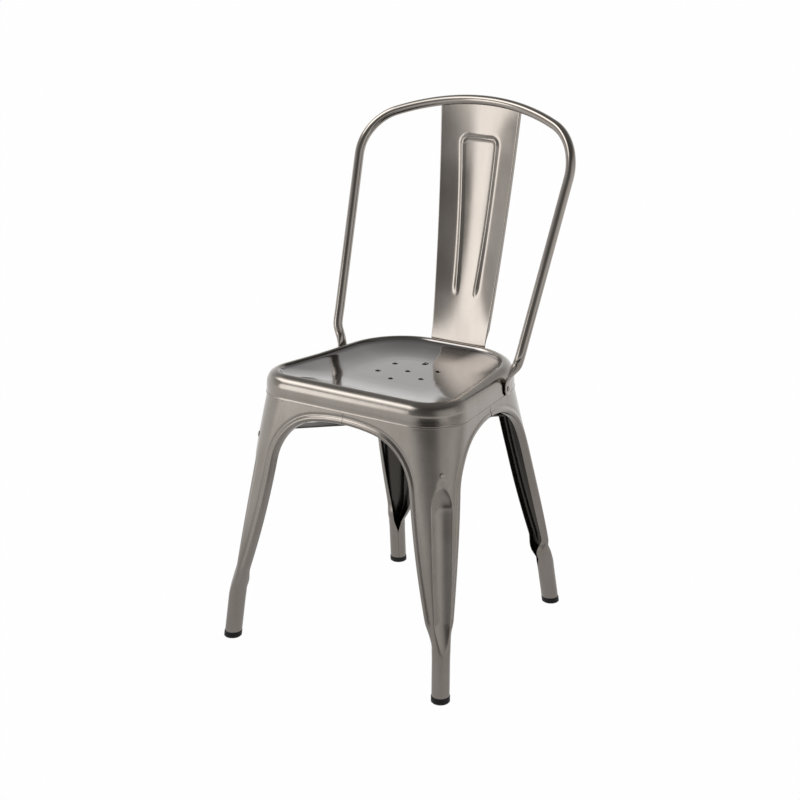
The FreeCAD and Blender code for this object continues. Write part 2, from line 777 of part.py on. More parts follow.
def hoop_geometry():
    """Half width at the corner's start, corner centre and top arc centre in the hoop's plane."""
    bend = HOOP_HALF_WIDTH + HOOP_STRAIGHT * math.tan(HOOP_FLARE)
    corner_u = bend - HOOP_CORNER_RADIUS * math.cos(HOOP_FLARE)
    corner_v = HOOP_STRAIGHT + HOOP_CORNER_RADIUS * math.sin(HOOP_FLARE)
    reach = HOOP_TOP_RADIUS - HOOP_CORNER_RADIUS
    top_v = corner_v - math.sqrt(reach * reach - corner_u * corner_u)
    return corner_u, corner_v, top_v


def hoop_start_z():
    """Height of the straight tube's lower end, set by the overall height."""
    top_v = hoop_geometry()[2]
    rise = (top_v + HOOP_TOP_RADIUS) * math.cos(HOOP_LEAN)
    return OVERALL_HEIGHT - HOOP_TUBE_RADIUS - rise


def on_hoop(u, v):
    """Point of the hoop's centre line from its place in the leaning plane."""
    widest = hoop_geometry()[0] + HOOP_CORNER_RADIUS
    bow = HOOP_BOW * (1 - (u / widest) ** 2) if v >= HOOP_STRAIGHT else 0.0
    y = HOOP_START_Y + v * math.sin(HOOP_LEAN) + bow
    return Vector(u, y, hoop_start_z() + v * math.cos(HOOP_LEAN))


def hoop_top(x):
    """Centre of the top tube at a distance from the middle."""
    top_v = hoop_geometry()[2]
    return on_hoop(x, top_v + math.sqrt(HOOP_TOP_RADIUS**2 - x * x))


def hoop_line():
    """Centre points of the +X half from the lower end of the straight to the top middle."""
    corner_u, corner_v, top_v = hoop_geometry()
    points = []
    for share in (0.03, 0.5):
        v = HOOP_STRAIGHT * share
        points.append(on_hoop(HOOP_HALF_WIDTH + v * math.tan(HOOP_FLARE), v))
    end = math.atan2(corner_v - top_v, corner_u)
    for step in range(8):
        angle = -HOOP_FLARE + (end + HOOP_FLARE) * step / 7
        u = corner_u + HOOP_CORNER_RADIUS * math.cos(angle)
        points.append(on_hoop(u, corner_v + HOOP_CORNER_RADIUS * math.sin(angle)))
    for step in range(1, 5):
        angle = end + (math.pi / 2 - end) * step / 4
        u, v = HOOP_TOP_RADIUS * math.cos(angle), HOOP_TOP_RADIUS * math.sin(angle)
        points.append(on_hoop(u, top_v + v))
    return points


def oval(centre, along, flat, half_width, half_thickness):
    """Section of a bar square to its run, wide along the flat direction."""
    inward = along.cross(flat).normalize()
    wide = inward.cross(along).normalize()
    spot = centre - inward * min(half_thickness, half_width * 0.9995)
    return Part.Wire(Part.Ellipse(centre + wide * half_width, spot, centre).toShape())


def hoop_stations():
    """Sections of the +X half from its foot to the top middle: place, flat direction, sizes."""
    points = hoop_line()
    plane_normal = Vector(0, math.cos(HOOP_LEAN), -math.sin(HOOP_LEAN))
    out = SIDE_NORMAL_DISTANCE + CLEARANCE + TAB_HALF_THICKNESS
    tab_x = (out - SIDE_NORMAL.y * HOOP_RIVET_Y) / SIDE_NORMAL.x
    start = points[0]
    stations = []
    for rise, share_out, share_back, width, thickness in HOOP_FOOT:
        x = tab_x + (start.x - tab_x) * share_out
        y = HOOP_RIVET_Y + (start.y - HOOP_RIVET_Y) * share_back
        flat = SIDE_RUN * (1 - share_back) + plane_normal * share_back
        stations.append((Vector(x, y, HOOP_RIVET_Z + rise), flat, width, thickness))
    for point in points:
        stations.append((point, plane_normal, HOOP_TUBE_RADIUS, HOOP_TUBE_RADIUS))
    return stations


def both_sides(vectors):
    """A run on +X up to the middle, carried on down its mirror image on -X."""
    return vectors + [Vector(-v.x, v.y, v.z) for v in vectors[-2::-1]]


def hoop_bar(stations, wall):
    """Round bar along the whole hoop, thinner all round by a wall."""
    centres = both_sides([station[0] for station in stations])
    flats = both_sides([station[1] for station in stations])
    sizes = [(width - wall, thickness - wall) for _, _, width, thickness in stations]
    sizes += sizes[-2::-1]
    wires = []
    for index, centre in enumerate(centres):
        before = centres[max(index - 1, 0)]
        after = centres[min(index + 1, len(centres) - 1)]
        wires.append(oval(centre, (after - before).normalize(), flats[index], *sizes[index]))
    return outward(Part.makeLoft(wires, True, True))


def hoop_rivet_seat():
    """Point on the outer face of the +X tab and the rivet's axis."""
    out = SIDE_NORMAL_DISTANCE + CLEARANCE + 2 * TAB_HALF_THICKNESS
    x = (out - SIDE_NORMAL.y * HOOP_RIVET_Y) / SIDE_NORMAL.x
    return Vector(x, HOOP_RIVET_Y, HOOP_RIVET_Z)


def hoop_rivet_hole(side):
    start = hoop_rivet_seat() + SIDE_NORMAL * 5
    hole = Part.makeCylinder(HOOP_RIVET_RADIUS + CLEARANCE, 20, start, SIDE_NORMAL * -1)
    return hole if side > 0 else mirrored(hole)


def tab_end_cutter():
    """Trims the foot of the tab to a half round about the rivet."""
    seat = hoop_rivet_seat()
    size = 2 * TAB_HALF_WIDTH + 6
    block = Part.makeBox(20, size, TAB_HALF_WIDTH + 6)
    corner = seat - SIDE_NORMAL * 10 - SIDE_RUN * (size / 2)
    corner.z = HOOP_RIVET_Z - TAB_HALF_WIDTH - 6
    turn = FreeCAD.Rotation(Vector(0, 0, 1), math.degrees(SIDE_TAPER))
    block.Placement = FreeCAD.Placement(corner, turn)
    round_end = Part.makeCylinder(TAB_HALF_WIDTH, 40, seat - SIDE_NORMAL * 20, SIDE_NORMAL)
    return block.cut(round_end)


def back_hoop():
    stations = hoop_stations()
    hoop = hoop_bar(stations, 0).cut(hoop_bar(stations[len(HOOP_FOOT) :], HOOP_WALL))
    for side in (1, -1):
        trim = tab_end_cutter()
        hoop = hoop.cut(trim if side > 0 else mirrored(trim)).cut(hoop_rivet_hole(side))
    return hoop


def hoop_rivet():
    """Blind rivet through the tab and the skirt, hollow down its middle."""
    reach = CLEARANCE + 2 * TAB_HALF_THICKNESS + SHEET + SKIRT_LEAN
    solid = rivet(hoop_rivet_seat(), SIDE_NORMAL, reach, HOOP_RIVET_RADIUS, HOOP_HEAD_RADIUS)
    start = hoop_rivet_seat() + SIDE_NORMAL * 5
    return solid.cut(Part.makeCylinder(HOOP_RIVET_RADIUS / 2, 8, start, SIDE_NORMAL * -1))


# Back splat


def splat_half_width(t):
    return SPLAT_BOTTOM_HALF_WIDTH + (SPLAT_TOP_HALF_WIDTH - SPLAT_BOTTOM_HALF_WIDTH) * t


def splat_top(x):
    """Point of the splat's front face right under the hoop."""
    drop = HOOP_TUBE_RADIUS + SPLAT_TOP_GAP
    return hoop_top(x) - Vector(0, SHEET / 2, drop)


def splat_front(x, t):
    """Front face of the splat. It bows back at the sides and is hollow towards the middle."""
    edge = splat_top(SPLAT_TOP_HALF_WIDTH)
    half_width = splat_half_width(max(t, 0))
    share = min(abs(x) / half_width, 1)
    if t < 0:
        z = SPLAT_BEND_Z + (SPLAT_BEND_Z - SPLAT_FOOT_Z) * t
        back = SKIRT_REAR + FIT_GAP - SPLAT_BEND_Y
        return Vector(x, SPLAT_BEND_Y + back * t * t * (3 + 2 * t), z)
    y = SPLAT_BEND_Y + (edge.y - SPLAT_BEND_Y) * t + SPLAT_SIDE_BOW * 4 * t * (1 - t)
    hollow = (splat_top(0).y - edge.y) * t + SPLAT_MID_HOLLOW * 4 * t * (1 - t)
    top_x = share * SPLAT_TOP_HALF_WIDTH
    z = SPLAT_BEND_Z + (splat_top(top_x).z - SPLAT_BEND_Z) * t
    return Vector(x, y + hollow * (1 - share * share), z)


SPLAT_ROWS = (-1.0, -0.7, -0.35, 0.0, 0.05, 0.13, 0.25, 0.4, 0.55, 0.7, 0.85, 1.0)
SPLAT_COLUMNS = (-1.0, -0.75, -0.5, -0.25, 0.0, 0.25, 0.5, 0.75, 1.0)


def splat_back_direction(t):
    """Unit vector straight back through the sheet at a height, on the splat's middle line."""
    low, high = splat_front(0, max(t - 0.02, -1)), splat_front(0, min(t + 0.02, 1))
    run = (high - low).normalize()
    return Vector(0, run.z, -run.y)


def splat_grid(depth):
    """Points at a depth behind the front face. The sheet's foot and top stay level."""
    grid = []
    for t in SPLAT_ROWS:
        half_width = splat_half_width(max(t, 0))
        back = depth / splat_back_direction(t).y
        grid.append(
            [splat_front(share * half_width, t) + Vector(0, back, 0) for share in SPLAT_COLUMNS]
        )
    return grid


def splat_flange(side):
    """Edge of the splat folded back."""
    wires = []
    for t in SPLAT_ROWS[3:]:
        edge = splat_front(side * splat_half_width(t), t)
        back = splat_back_direction(t)
        inward = Vector(-side * SHEET, 0, 0)
        reach = back * SPLAT_FLANGE
        if t == SPLAT_ROWS[-1]:
            reach = Vector(0, SPLAT_FLANGE, 0)
        corners = [edge, edge + reach, edge + reach + inward, edge + inward]
        wires.append(Part.makePolygon(corners + [edge]))
    return Part.makeLoft(wires, True, True)


def bead_line():
    """Inverted U on the splat, from the foot of the +X leg round to the foot of the other."""
    rise = BEAD_TOP - BEAD_BOTTOM
    splay = math.atan2(BEAD_TOP_HALF_WIDTH - BEAD_BOTTOM_HALF_WIDTH, rise)
    corner_z = BEAD_TOP - BEAD_CORNER_RADIUS
    corner_x = BEAD_TOP_HALF_WIDTH - BEAD_CORNER_RADIUS / math.cos(splay)
    corner_x -= BEAD_CORNER_RADIUS * math.tan(splay)
    spots = []
    start = (BEAD_BOTTOM_HALF_WIDTH, BEAD_BOTTOM)
    end_x = corner_x + BEAD_CORNER_RADIUS * math.cos(splay)
    end_z = corner_z - BEAD_CORNER_RADIUS * math.sin(splay)
    for share in (0, 0.2, 0.4, 0.6, 0.8, 0.95):
        spots.append((start[0] + (end_x - start[0]) * share, start[1] + (end_z - start[1]) * share))
    for step in range(5):
        angle = -splay + (math.pi / 2 + splay) * step / 4
        x = corner_x + BEAD_CORNER_RADIUS * math.cos(angle)
        spots.append((x, corner_z + BEAD_CORNER_RADIUS * math.sin(angle)))
    spots.append((corner_x * 0.5, BEAD_TOP))
    spots += [(-x, z) for x, z in spots[::-1]]
    points = []
    for x, z in spots:
        t = (z - SPLAT_BEND_Z) / (splat_top(abs(x)).z - SPLAT_BEND_Z)
        points.append(splat_front(x, t) + Vector(0, BEAD_DEPTH, 0))
    return points


def bead_bar(radius, run_out_radius, back):
    """D-shaped bar along the bead, flat at a distance in front of its axis. Its ends run out."""
    points = bead_line()
    first = points[0] + (points[0] - points[1]).normalize() * BEAD_RADIUS
    last = points[-1] + (points[-1] - points[-2]).normalize() * BEAD_RADIUS
    centres = [first] + points + [last]
    wires = []
    for index, centre in enumerate(centres):
        before = centres[max(index - 1, 0)]
        after = centres[min(index + 1, len(centres) - 1)]
        ended = index in (0, len(centres) - 1)
        size = run_out_radius if ended else radius
        along = (after - before).normalize()
        sideways = along.cross(Vector(0, -1, 0)).normalize()
        front = sideways.cross(along).normalize()
        half_turn = math.acos(back / size)
        arc = []
        for step in range(5):
            angle = half_turn * (step - 2) / 2
            arc.append(centre + front * size * math.cos(angle) + sideways * size * math.sin(angle))
        wires.append(Part.Wire(smooth_edges(arc) + [line(arc[-1], arc[0])]))
    return outward(Part.makeLoft(wires, True, True))


def back_splat():
    splat = bent_sheet(splat_grid(0), splat_grid(SHEET))
    splat = splat.fuse([splat_flange(1), splat_flange(-1)])
    swelling = bead_bar(BEAD_RADIUS, BEAD_DEPTH, BEAD_DEPTH - SHEET / 2)
    groove = bead_bar(BEAD_RADIUS - SHEET, BEAD_DEPTH - SHEET, 0)
    return splat.fuse(swelling).cut(groove)


def all_pieces():
    pieces = {"seat_pan": seat_pan(), "back_hoop": back_hoop(), "back_splat": back_splat()}
    sides = {"left": lambda shape: shape, "right": mirrored}
    end_rivets = []
    for end in ("front", "rear"):
        leg = Leg(end)
        shapes = {"leg": leg_shell(end), "foot_cap": foot_cap(leg), "foot_sleeve": foot_sleeve(leg)}
        for side, placed in sides.items():
            for kind, shape in shapes.items():
                pieces[end + "_" + side + "_" + kind] = placed(shape)
            end_rivets.append(placed(brace_end_rivet(leg)))
    pieces["brace_end_rivets"] = Part.makeCompound(end_rivets)
    pieces["lower_brace_strap"] = strap(LOWER_STRAP_Z)
    pieces["upper_brace_strap"] = mirrored(strap(LOWER_STRAP_Z + STRAP_THICKNESS))
    grip = 2 * STRAP_THICKNESS
    seat = brace_crossing(LOWER_STRAP_Z + grip)
    up = Vector(0, 0, 1)
    pieces["brace_centre_rivet"] = rivet(seat, up, grip, BRACE_RIVET_RADIUS, BRACE_HEAD_RADIUS)
    pieces["hoop_rivets"] = Part.makeCompound([hoop_rivet(), mirrored(hoop_rivet())])
    return pieces


# The datum moves to the middle of the chair's depth, from the front caps to the hoop's back
FRONTMOST = FRONT_FOOT[1] - CAP_RADIUS
REARMOST = hoop_top(0).y + HOOP_TUBE_RADIUS

for name, shape in all_pieces().items():
    shape.translate(Vector(0, -(FRONTMOST + REARMOST) / 2, 0))
    shape.exportStep("parts/" + name + ".step")
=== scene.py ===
import math

import bmesh
import bpy
import numpy as np
from mathutils import Matrix, Vector


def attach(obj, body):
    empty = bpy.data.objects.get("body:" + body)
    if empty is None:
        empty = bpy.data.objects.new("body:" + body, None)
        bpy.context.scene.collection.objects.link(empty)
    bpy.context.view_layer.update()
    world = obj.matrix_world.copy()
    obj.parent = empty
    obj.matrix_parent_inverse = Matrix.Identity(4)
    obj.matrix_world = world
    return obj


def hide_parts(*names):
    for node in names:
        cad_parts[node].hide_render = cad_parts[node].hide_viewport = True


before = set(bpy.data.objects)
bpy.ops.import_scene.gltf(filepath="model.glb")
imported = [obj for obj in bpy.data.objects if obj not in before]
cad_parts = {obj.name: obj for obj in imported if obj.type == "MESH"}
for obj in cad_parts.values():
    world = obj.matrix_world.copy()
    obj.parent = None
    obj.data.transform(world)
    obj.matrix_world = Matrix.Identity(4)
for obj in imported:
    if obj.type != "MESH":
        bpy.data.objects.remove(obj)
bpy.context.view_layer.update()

# Lengths in this script are millimetres from the floor and from the middle of the seat, as
# the chair was measured. They are turned into metres and moved to the frame's origin last.
DATUM_SHIFT = -9.78
MM = 0.001

# Camera: place and sensor width in millimetres, turns in degrees, the rest in pixels
CAMERA_PLACE = (1462.04, -2114.27, 1211.07)
CAMERA_AZIMUTH = 34.76
CAMERA_ELEVATION = 17.75
CAMERA_ROLL = -0.18
FOCAL_PIXELS = 1683.02
PRINCIPAL = (401.03, 400.94)
IMAGE_SIZE = 800
SENSOR = 36.0

# Room: its brightness by the sine of the height above the horizon
ROOM_LEVELS = ((0.0, 1.1), (0.12, 1.0), (0.3, 0.8), (0.5, 0.55), (0.75, 0.28), (1.0, 0.26))
# The bright side lies straight behind the chair as the camera sees it. Between these two
# cosines to that side, the room goes from its dark side's share to full brightness.
BRIGHT_SIDE = (-0.57, 0.82, 0.0)
BRIGHT_RANGE = (-0.95, 0.6)
DARK_SIDE_SHARE = 0.23
# Soft light panels: azimuth from +X and height in degrees, half width and half height as
# sines, and level
LIGHT_PANELS = (
    (-150.0, 44.0, 0.4, 0.2, 3.6),
    (-8.0, 18.0, 0.5, 0.4, 0.5),
)
# Half size of the floor in metres, and the share of plain white in what the camera sees of it
FLOOR_HALF = 60.0
FLOOR_WHITE = 0.985
# A board that only reflections see is full where a round gradient, 1 in its middle and 0 at
# its edge, lies above this level
FLAG_FADE = 0.3
CARD_FADE = 0.12
FLAG_COLOUR = (0.05, 0.048, 0.046, 1)
# Dark boards flat over the floor, in metres: name, place, size, turn and most they cover
DARK_FLAGS = (
    ("front_flag", (1.1, -1.9, 0.004), (3.8, 3.6), 0.6, 1.0),
    ("right_flag", (2.4, 0.6, 0.003), (3.4, 3.4), 0.0, 0.45),
    ("near_flag", (0.3, -0.4, 0.002), (4.0, 4.0), 0.0, 0.35),
)
# Bright board that stands on the floor, in metres: place, size, turn and level
BRIGHT_CARD = ((-1.9, -2.45, 0.95), (1.4, 2.1), math.radians(-36), 2.8)

# Corners of a square two wide, round which the floor and the boards are made
SQUARE = ((-1, -1), (1, -1), (1, 1), (-1, 1))

# Scales of the steel's blotches, speckle, rolling marks and ripple, and of the rubber's grain
CLOUD_SCALE = 14
SPECKLE_SCALE = 1400
MARK_SCALE = 60
MARK_STRETCH = (1, 1, 0.12)
RIPPLE_SCALE = 26
RUBBER_SCALE = 600
# Range of a noise's values that goes from full shade to full light
NOISE_RANGE = (0.3, 0.7)

# Sheet, seams, and the angle in degrees from which an edge is shaded as sharp
SHEET = 1.2
HALF_SEAM = 0.3
SHARP_ANGLE = 35.0

# Seat pan
SEAT_HEIGHT = 448.0
SKIRT_BOTTOM = 412.0
SKIRT_FACE = {"front": 164.3, "rear": 163.0}
SKIRT_CORNER = {"front": 64.0, "rear": 116.0}
SIDE_NORMAL_DISTANCE = 165.9
SIDE_TAPER = math.radians(8.72)
RIM_REAR_RISE = 4.5
RISE_START_Y = -20.0
RIM_CROWN_Y = 143.5
DISH_FLOOR_Z = 435.0
DISH_CENTRE_Y = 12.4
DISH_FLOOR_SHARE = 0.45
DRAIN_CIRCLE_RADIUS = 48.2
DRAIN_HOLES = 6
# Rings that lead into a drain hole: radius and depth below the dish's floor
DRAIN_RINGS = ((6.4, 0.0), (5.4, 0.0), (4.8, 0.15), (4.5, 0.5), (4.5, 0.9))
DRAIN_STEPS = 28
# Shares at which the rim's last row is drawn in over the dish, how finely the rows are
# split, and size of the ring that starts the flat floor
DISH_SHARES = (0.84, 0.66, 0.46, 0.24, 0.0)
PAN_STEPS = 6
FLOOR_RING = 0.97
# Split row at which the rim ends and the polished dish begins
DISH_EDGE_ROW = 51
# Inset from the skirt's edge, drop below the seat height, and how much of the rear rise applies
RIM_PROFILE = (
    (-0.3, 36.0, 0.0),
    (-0.1, 34.6, 0.0),
    (0.7, 33.0, 0.02),
    (0.9, 24.0, 0.1),
    (2.0, 14.5, 0.5),
    (6.2, 6.2, 0.9),
    (12.0, 1.9, 1.0),
    (17.6, 0.1, 1.0),
    (21.2, 0.6, 1.0),
    (24.2, 3.4, 1.0),
    (29.0, 5.6, 0.9),
)

# Legs
FOOT = {"front": (204.6, -200.3), "rear": (159.2, 212.4)}
LEG_INSET = 1.4
TUBE_RADIUS = 13.9
LOW_RADIUS = 14.35
TUBE_TOP = 88.0
# Height at which the tube starts to step in under the lips, and how far down the step goes
TUBE_STEP_TOP = 82.0
TUBE_STEP_RUN = 16.0
LEG_TUCK_TOP = 418.0
ARCH_TOP = 393.0
SIDE_SEAM_Y = -7.5
TUBE_FOOT = 4.2
NOTCH_APEX = 66.0
# Radius and turn of the top arc, radius of the shoulder arc, lean of the edge below it,
# and radius of the slow curve that ends at the tube
ARCHES = {
    ("front", "face"): (300.0, 11.0, 90.0, 9.0, 1400.0),
    ("front", "side"): (180.0, 18.0, 95.0, 10.5, 1800.0),
    ("rear", "face"): (180.0, 15.0, 44.0, 6.5, 1500.0),
    ("rear", "side"): (180.0, 18.0, 134.0, 14.0, 3000.0),
}
# Steps along the top arc, the shoulder arc and the slow curve
ARCH_STEPS = (8, 30, 46)
LIP_RADIUS = 5.5
LIP_PROUD = 1.5
FLANGE_DEPTH = 11.0
LIP_TAIL = 16.0
LIP_ROLL_END = math.radians(50.0)
LIP_TUBE_END = math.radians(203.0)
# Turn left open between a leg's two lips and the line on which they meet
LIP_GAP_TURN = 0.004
LIP_MERGE_FROM = 124.0
LIP_MERGE_TO = 86.0
LIP_END = 81.0
FLUTE_RADIUS = 26.0
FLUTE_DEPTH = 8.6
FLUTE_BOTTOM = 77.0
FLUTE_FULL_FROM = 118.0
FLUTE_FULL_TO = 292.0
FLUTE_TOP = 330.0
FLUTE_CREASE = 2.0
# The flute's bar runs on below it by a length. Above it, it runs on to a share of the fading
# length, where it has drawn back by a share of the depth.
FLUTE_RUN_OUT = 12.0
FLUTE_TOP_RUN_OUT = 1.4
FLUTE_DRAW_BACK = 0.6
# Skin further off the bar than the reach stays where it is, and the push sets in softly
FLUTE_REACH = 4.0
FLUTE_EASE = 3.0

# Back hoop
HOOP_RADIUS = 7.85
TUBE_SKIN = 0.05
HOOP_HALF_WIDTH = 176.65
HOOP_FLARE = math.radians(4.67)
HOOP_STRAIGHT = 293.5
# Shares of the straight run between which the tube is drawn as straight
HOOP_STRAIGHT_SHARES = (0.03, 0.97)
HOOP_CORNER_RADIUS = 76.5
HOOP_TOP_RADIUS = 440.0
HOOP_LEAN = math.radians(20.0)
HOOP_BOW = 30.0
HOOP_BOW_RUN = 40.0
HOOP_START_Y = 60.5
OVERALL_HEIGHT = 850.0
TAB_Y = 54.0
TAB_Z = 423.0
TAB_HALF_WIDTH = 10.5
TAB_HALF_THICKNESS = 1.5
TAB_CLEARANCE = 0.1
# Turns round the tab's rounded end, from near its lowest point to near its full width
TAB_END_TURNS = (-math.pi / 2 + 0.12, -0.1)
# Flattened foot of the hoop: height above the rivet, shares of the way out and back to the
# start of the straight tube, half width and half thickness
HOOP_FOOT = (
    (7.0, 0.0, 0.0, TAB_HALF_WIDTH, TAB_HALF_THICKNESS),
    (15.0, 0.08, 0.16, 10.2, 2.4),
    (23.0, 0.22, 0.38, 9.4, 4.6),
    (31.0, 0.45, 0.64, 8.4, 6.9),
    (39.0, 0.74, 0.87, HOOP_RADIUS, HOOP_RADIUS),
)
# How far the section goes from round to square where the foot is flat
FOOT_SQUARENESS = 0.45

# Back splat
SPLAT_TOP_HALF_WIDTH = 75.5
SPLAT_BOTTOM_HALF_WIDTH = 53.0
SPLAT_BEND_Z = 449.0
SPLAT_BEND_Y = 159.0
SPLAT_FOOT_Z = 419.0
SPLAT_REAR_Y = 163.2
SPLAT_FLANGE = 6.0
SPLAT_FOLD_RADIUS = 1.4
SPLAT_MID_HOLLOW = 9.0
SPLAT_SIDE_BOW = 5.0
# Below zero, because the top edge lies inside the hoop's tube
SPLAT_TOP_GAP = -1.0
SPLAT_SHEET = 1.0
# The side folds grow from the bend upwards at this rate, by the share of the height
SPLAT_FOLD_GROWTH = 14.0
SPLAT_SLOPE_STEP = 0.02
BEAD_HEIGHT = 2.1
BEAD_INNER_SLOPE = 2.2
BEAD_OUTER_SLOPE = 5.0
BEAD_TOP = 780.0
BEAD_BOTTOM = 528.0
BEAD_TOP_HALF_WIDTH = 32.0
BEAD_BOTTOM_HALF_WIDTH = 17.5
BEAD_CORNER_RADIUS = 9.0
# The bead fades in over this height, from this far below its bottom
BEAD_FADE_BELOW = 6.0
BEAD_FADE_RUN = 16.0

NORMALS = {
    "front": np.array([0.0, -1.0, 0.0]),
    "rear": np.array([0.0, 1.0, 0.0]),
    "side": np.array([math.cos(SIDE_TAPER), math.sin(SIDE_TAPER), 0.0]),
}
SIDE_RUN = np.array([-math.sin(SIDE_TAPER), math.cos(SIDE_TAPER), 0.0])


# Mesh helpers


def placed(points):
    """Millimetre points as metres in the frame."""
    points = np.asarray(points, float).reshape(-1, 3)
    return (points + np.array([0, DATUM_SHIFT, 0])) * MM


def plan(angle):
    """Level direction at an angle from +X."""
    return np.array([math.cos(angle), math.sin(angle), 0.0])


def clamped(value):
    return min(max(value, 0), 1)


def eased(value):
    """A share from 0 to 1 that starts and ends softly."""
    share = clamped(value)
    return share * share * (3 - 2 * share)


def smooth_rows(keys, steps):
    """Catmull-Rom curves down the columns of a grid of key rows."""
    keys = np.asarray(keys, float)
    rows = []
    last = len(keys) - 1
    for index in range(last):
        before, start = keys[max(index - 1, 0)], keys[index]
        end, after = keys[index + 1], keys[min(index + 2, last)]
        for step in range(steps):
            t = step / steps
            rows.append(
                0.5
                * (
                    2 * start
                    + (end - before) * t
                    + (2 * before - 5 * start + 4 * end - after) * t * t
                    + (3 * start - before - 3 * end + after) * t**3
                )
            )
    rows.append(keys[-1])
    return np.array(rows)


def grid_faces(rows, columns, closed=False):
    faces = []
    for row in range(rows - 1):
        for column in range(columns if closed else columns - 1):
            after = (column + 1) % columns
            start, below = row * columns, (row + 1) * columns
            faces.append((start + column, start + after, below + after, below + column))
    return faces


def piece(name, points, faces, node, material, thickness=0.0, lining="inside", flip=False):
    """A smooth-shaded piece in place of a CAD node, given a sheet's thickness if it has one."""
    mesh = bpy.data.meshes.new(name)
    if flip:
        faces = [face[::-1] for face in faces]
    mesh.from_pydata([tuple(p) for p in placed(points)], [], faces)
    mesh.update()
    mesh.materials.append(material)
    # The lining on the inner side and the cut edges is by default the inside steel, darkened as
    # painted shade
    if thickness:
        mesh.materials.append(steels[lining])
    thing = bpy.data.objects.new(name, mesh)
    bpy.context.scene.collection.objects.link(thing)
    if thickness:
        solidify = thing.modifiers.new("sheet", "SOLIDIFY")
        solidify.thickness = thickness * MM
        solidify.offset = -1
        solidify.material_offset = 1
        solidify.material_offset_rim = 1
        made = thing.evaluated_get(bpy.context.evaluated_depsgraph_get())
        thick = bpy.data.meshes.new_from_object(made)
        thing.modifiers.clear()
        thing.data = thick
        mesh = thick
    mesh.polygons.foreach_set("use_smooth", [True] * len(mesh.polygons))
    mesh.set_sharp_from_angle(angle=math.radians(SHARP_ANGLE))
    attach(thing, "root")
    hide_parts(node)
    return thing


# Seat pan


def corner_centre(end, inset):
    radius = SKIRT_CORNER[end]
    y = NORMALS[end][1] * (SKIRT_FACE[end] - radius)
    x = (SIDE_NORMAL_DISTANCE - radius - NORMALS["side"][1] * y) / NORMALS["side"][0]
    return np.array([x, y, 0.0]), radius - inset


def half_outline(inset):
    """The +X half of the pan's outline from the front middle to the rear middle."""
    front, front_radius = corner_centre("front", inset)
    rear, rear_radius = corner_centre("rear", inset)
    points = [np.array([front[0] * s, front[1] - front_radius, 0]) for s in np.linspace(0, 1, 12)]
    points += [
        front + plan(a) * front_radius for a in np.linspace(-math.pi / 2, SIDE_TAPER, 26)[1:]
    ]
    start, end = points[-1], rear + plan(SIDE_TAPER) * rear_radius
    points += [start + (end - start) * s for s in np.linspace(0, 1, 18)[1:]]
    points += [rear + plan(a) * rear_radius for a in np.linspace(SIDE_TAPER, math.pi / 2, 34)[1:]]
    points += [np.array([rear[0] * s, rear[1] + rear_radius, 0]) for s in np.linspace(1, 0, 8)[1:]]
    return points


def pan_row(inset, z, rise, share):
    """Closed row round the pan. Below share 1 it is drawn in over the dish."""
    crown = RIM_CROWN_Y - RISE_START_Y
    size = DISH_FLOOR_SHARE + (1 - DISH_FLOOR_SHARE) * share
    centre = np.array([0, DISH_CENTRE_Y, 0])
    half = []
    for point in half_outline(inset):
        edge_z = z + rise * RIM_REAR_RISE * max(point[1] - RISE_START_Y, 0) / crown
        place = centre + (point - centre) * size
        half.append((place[0], place[1], DISH_FLOOR_Z + (edge_z - DISH_FLOOR_Z) * share * share))
    return half + [(-x, y, z) for x, y, z in half[-2:0:-1]]


def pan_points():
    """Grid of points from the skirt's edge over the rim to the ring that starts the floor."""
    keys = [pan_row(inset, SEAT_HEIGHT - drop, rise, 1.0) for inset, drop, rise in RIM_PROFILE]
    inset, drop, rise = RIM_PROFILE[-1]
    keys += [pan_row(inset, SEAT_HEIGHT - drop, rise, share) for share in DISH_SHARES]
    rows = smooth_rows(keys, PAN_STEPS)
    inside = np.array(keys[-1])
    centre = np.array([0, DISH_CENTRE_Y, DISH_FLOOR_Z])
    return np.concatenate([rows, [centre + (inside - centre) * FLOOR_RING]])


def drain_centres():
    """Drain holes as seen from the dish's centre: one there and a circle of them round it."""
    centres = [np.zeros(3)]
    for index in range(DRAIN_HOLES):
        angle = math.pi / DRAIN_HOLES + index * 2 * math.pi / DRAIN_HOLES
        centres.append(plan(angle) * DRAIN_CIRCLE_RADIUS)
    return centres


def add_drain_hole(work, centre):
    """Adds the rings of a drain hole and returns the outermost one."""
    angles = np.arange(DRAIN_STEPS) * 2 * math.pi / DRAIN_STEPS
    rings = []
    for radius, drop in DRAIN_RINGS:
        middle = centre + np.array([0, DISH_CENTRE_Y, DISH_FLOOR_Z - drop])
        rings.append([work.verts.new(middle + plan(angle) * radius) for angle in angles])
    for outer, inner in zip(rings[:-1], rings[1:]):
        for step in range(DRAIN_STEPS):
            after = (step + 1) % DRAIN_STEPS
            work.faces.new((outer[step], outer[after], inner[after], inner[step]))
    return rings[0]


def pan_skin(rows):
    """Points and faces of the pan, and whether the faces look down instead of up."""
    columns = rows.shape[1]
    work = bmesh.new()
    spots = [work.verts.new(p) for p in rows.reshape(-1, 3)]
    for face in grid_faces(len(rows), columns, closed=True):
        work.faces.new([spots[i] for i in face])
    loops = [spots[-columns:]]
    loops += [add_drain_hole(work, centre) for centre in drain_centres()]
    edges = []
    for loop in loops:
        for pair in zip(loop, loop[1:] + loop[:1]):
            edges.append(work.edges.get(pair) or work.edges.new(pair))
    bmesh.ops.triangle_fill(work, edges=edges, use_beauty=True)
    work.verts.index_update()
    bmesh.ops.recalc_face_normals(work, faces=work.faces[:])
    floor = next(f for f in work.faces if abs(f.calc_center_median().z - DISH_FLOOR_Z) < 0.01)
    faces = [[v.index for v in f.verts] for f in work.faces]
    points = [tuple(v.co) for v in work.verts]
    return points, faces, floor.normal.z < 0


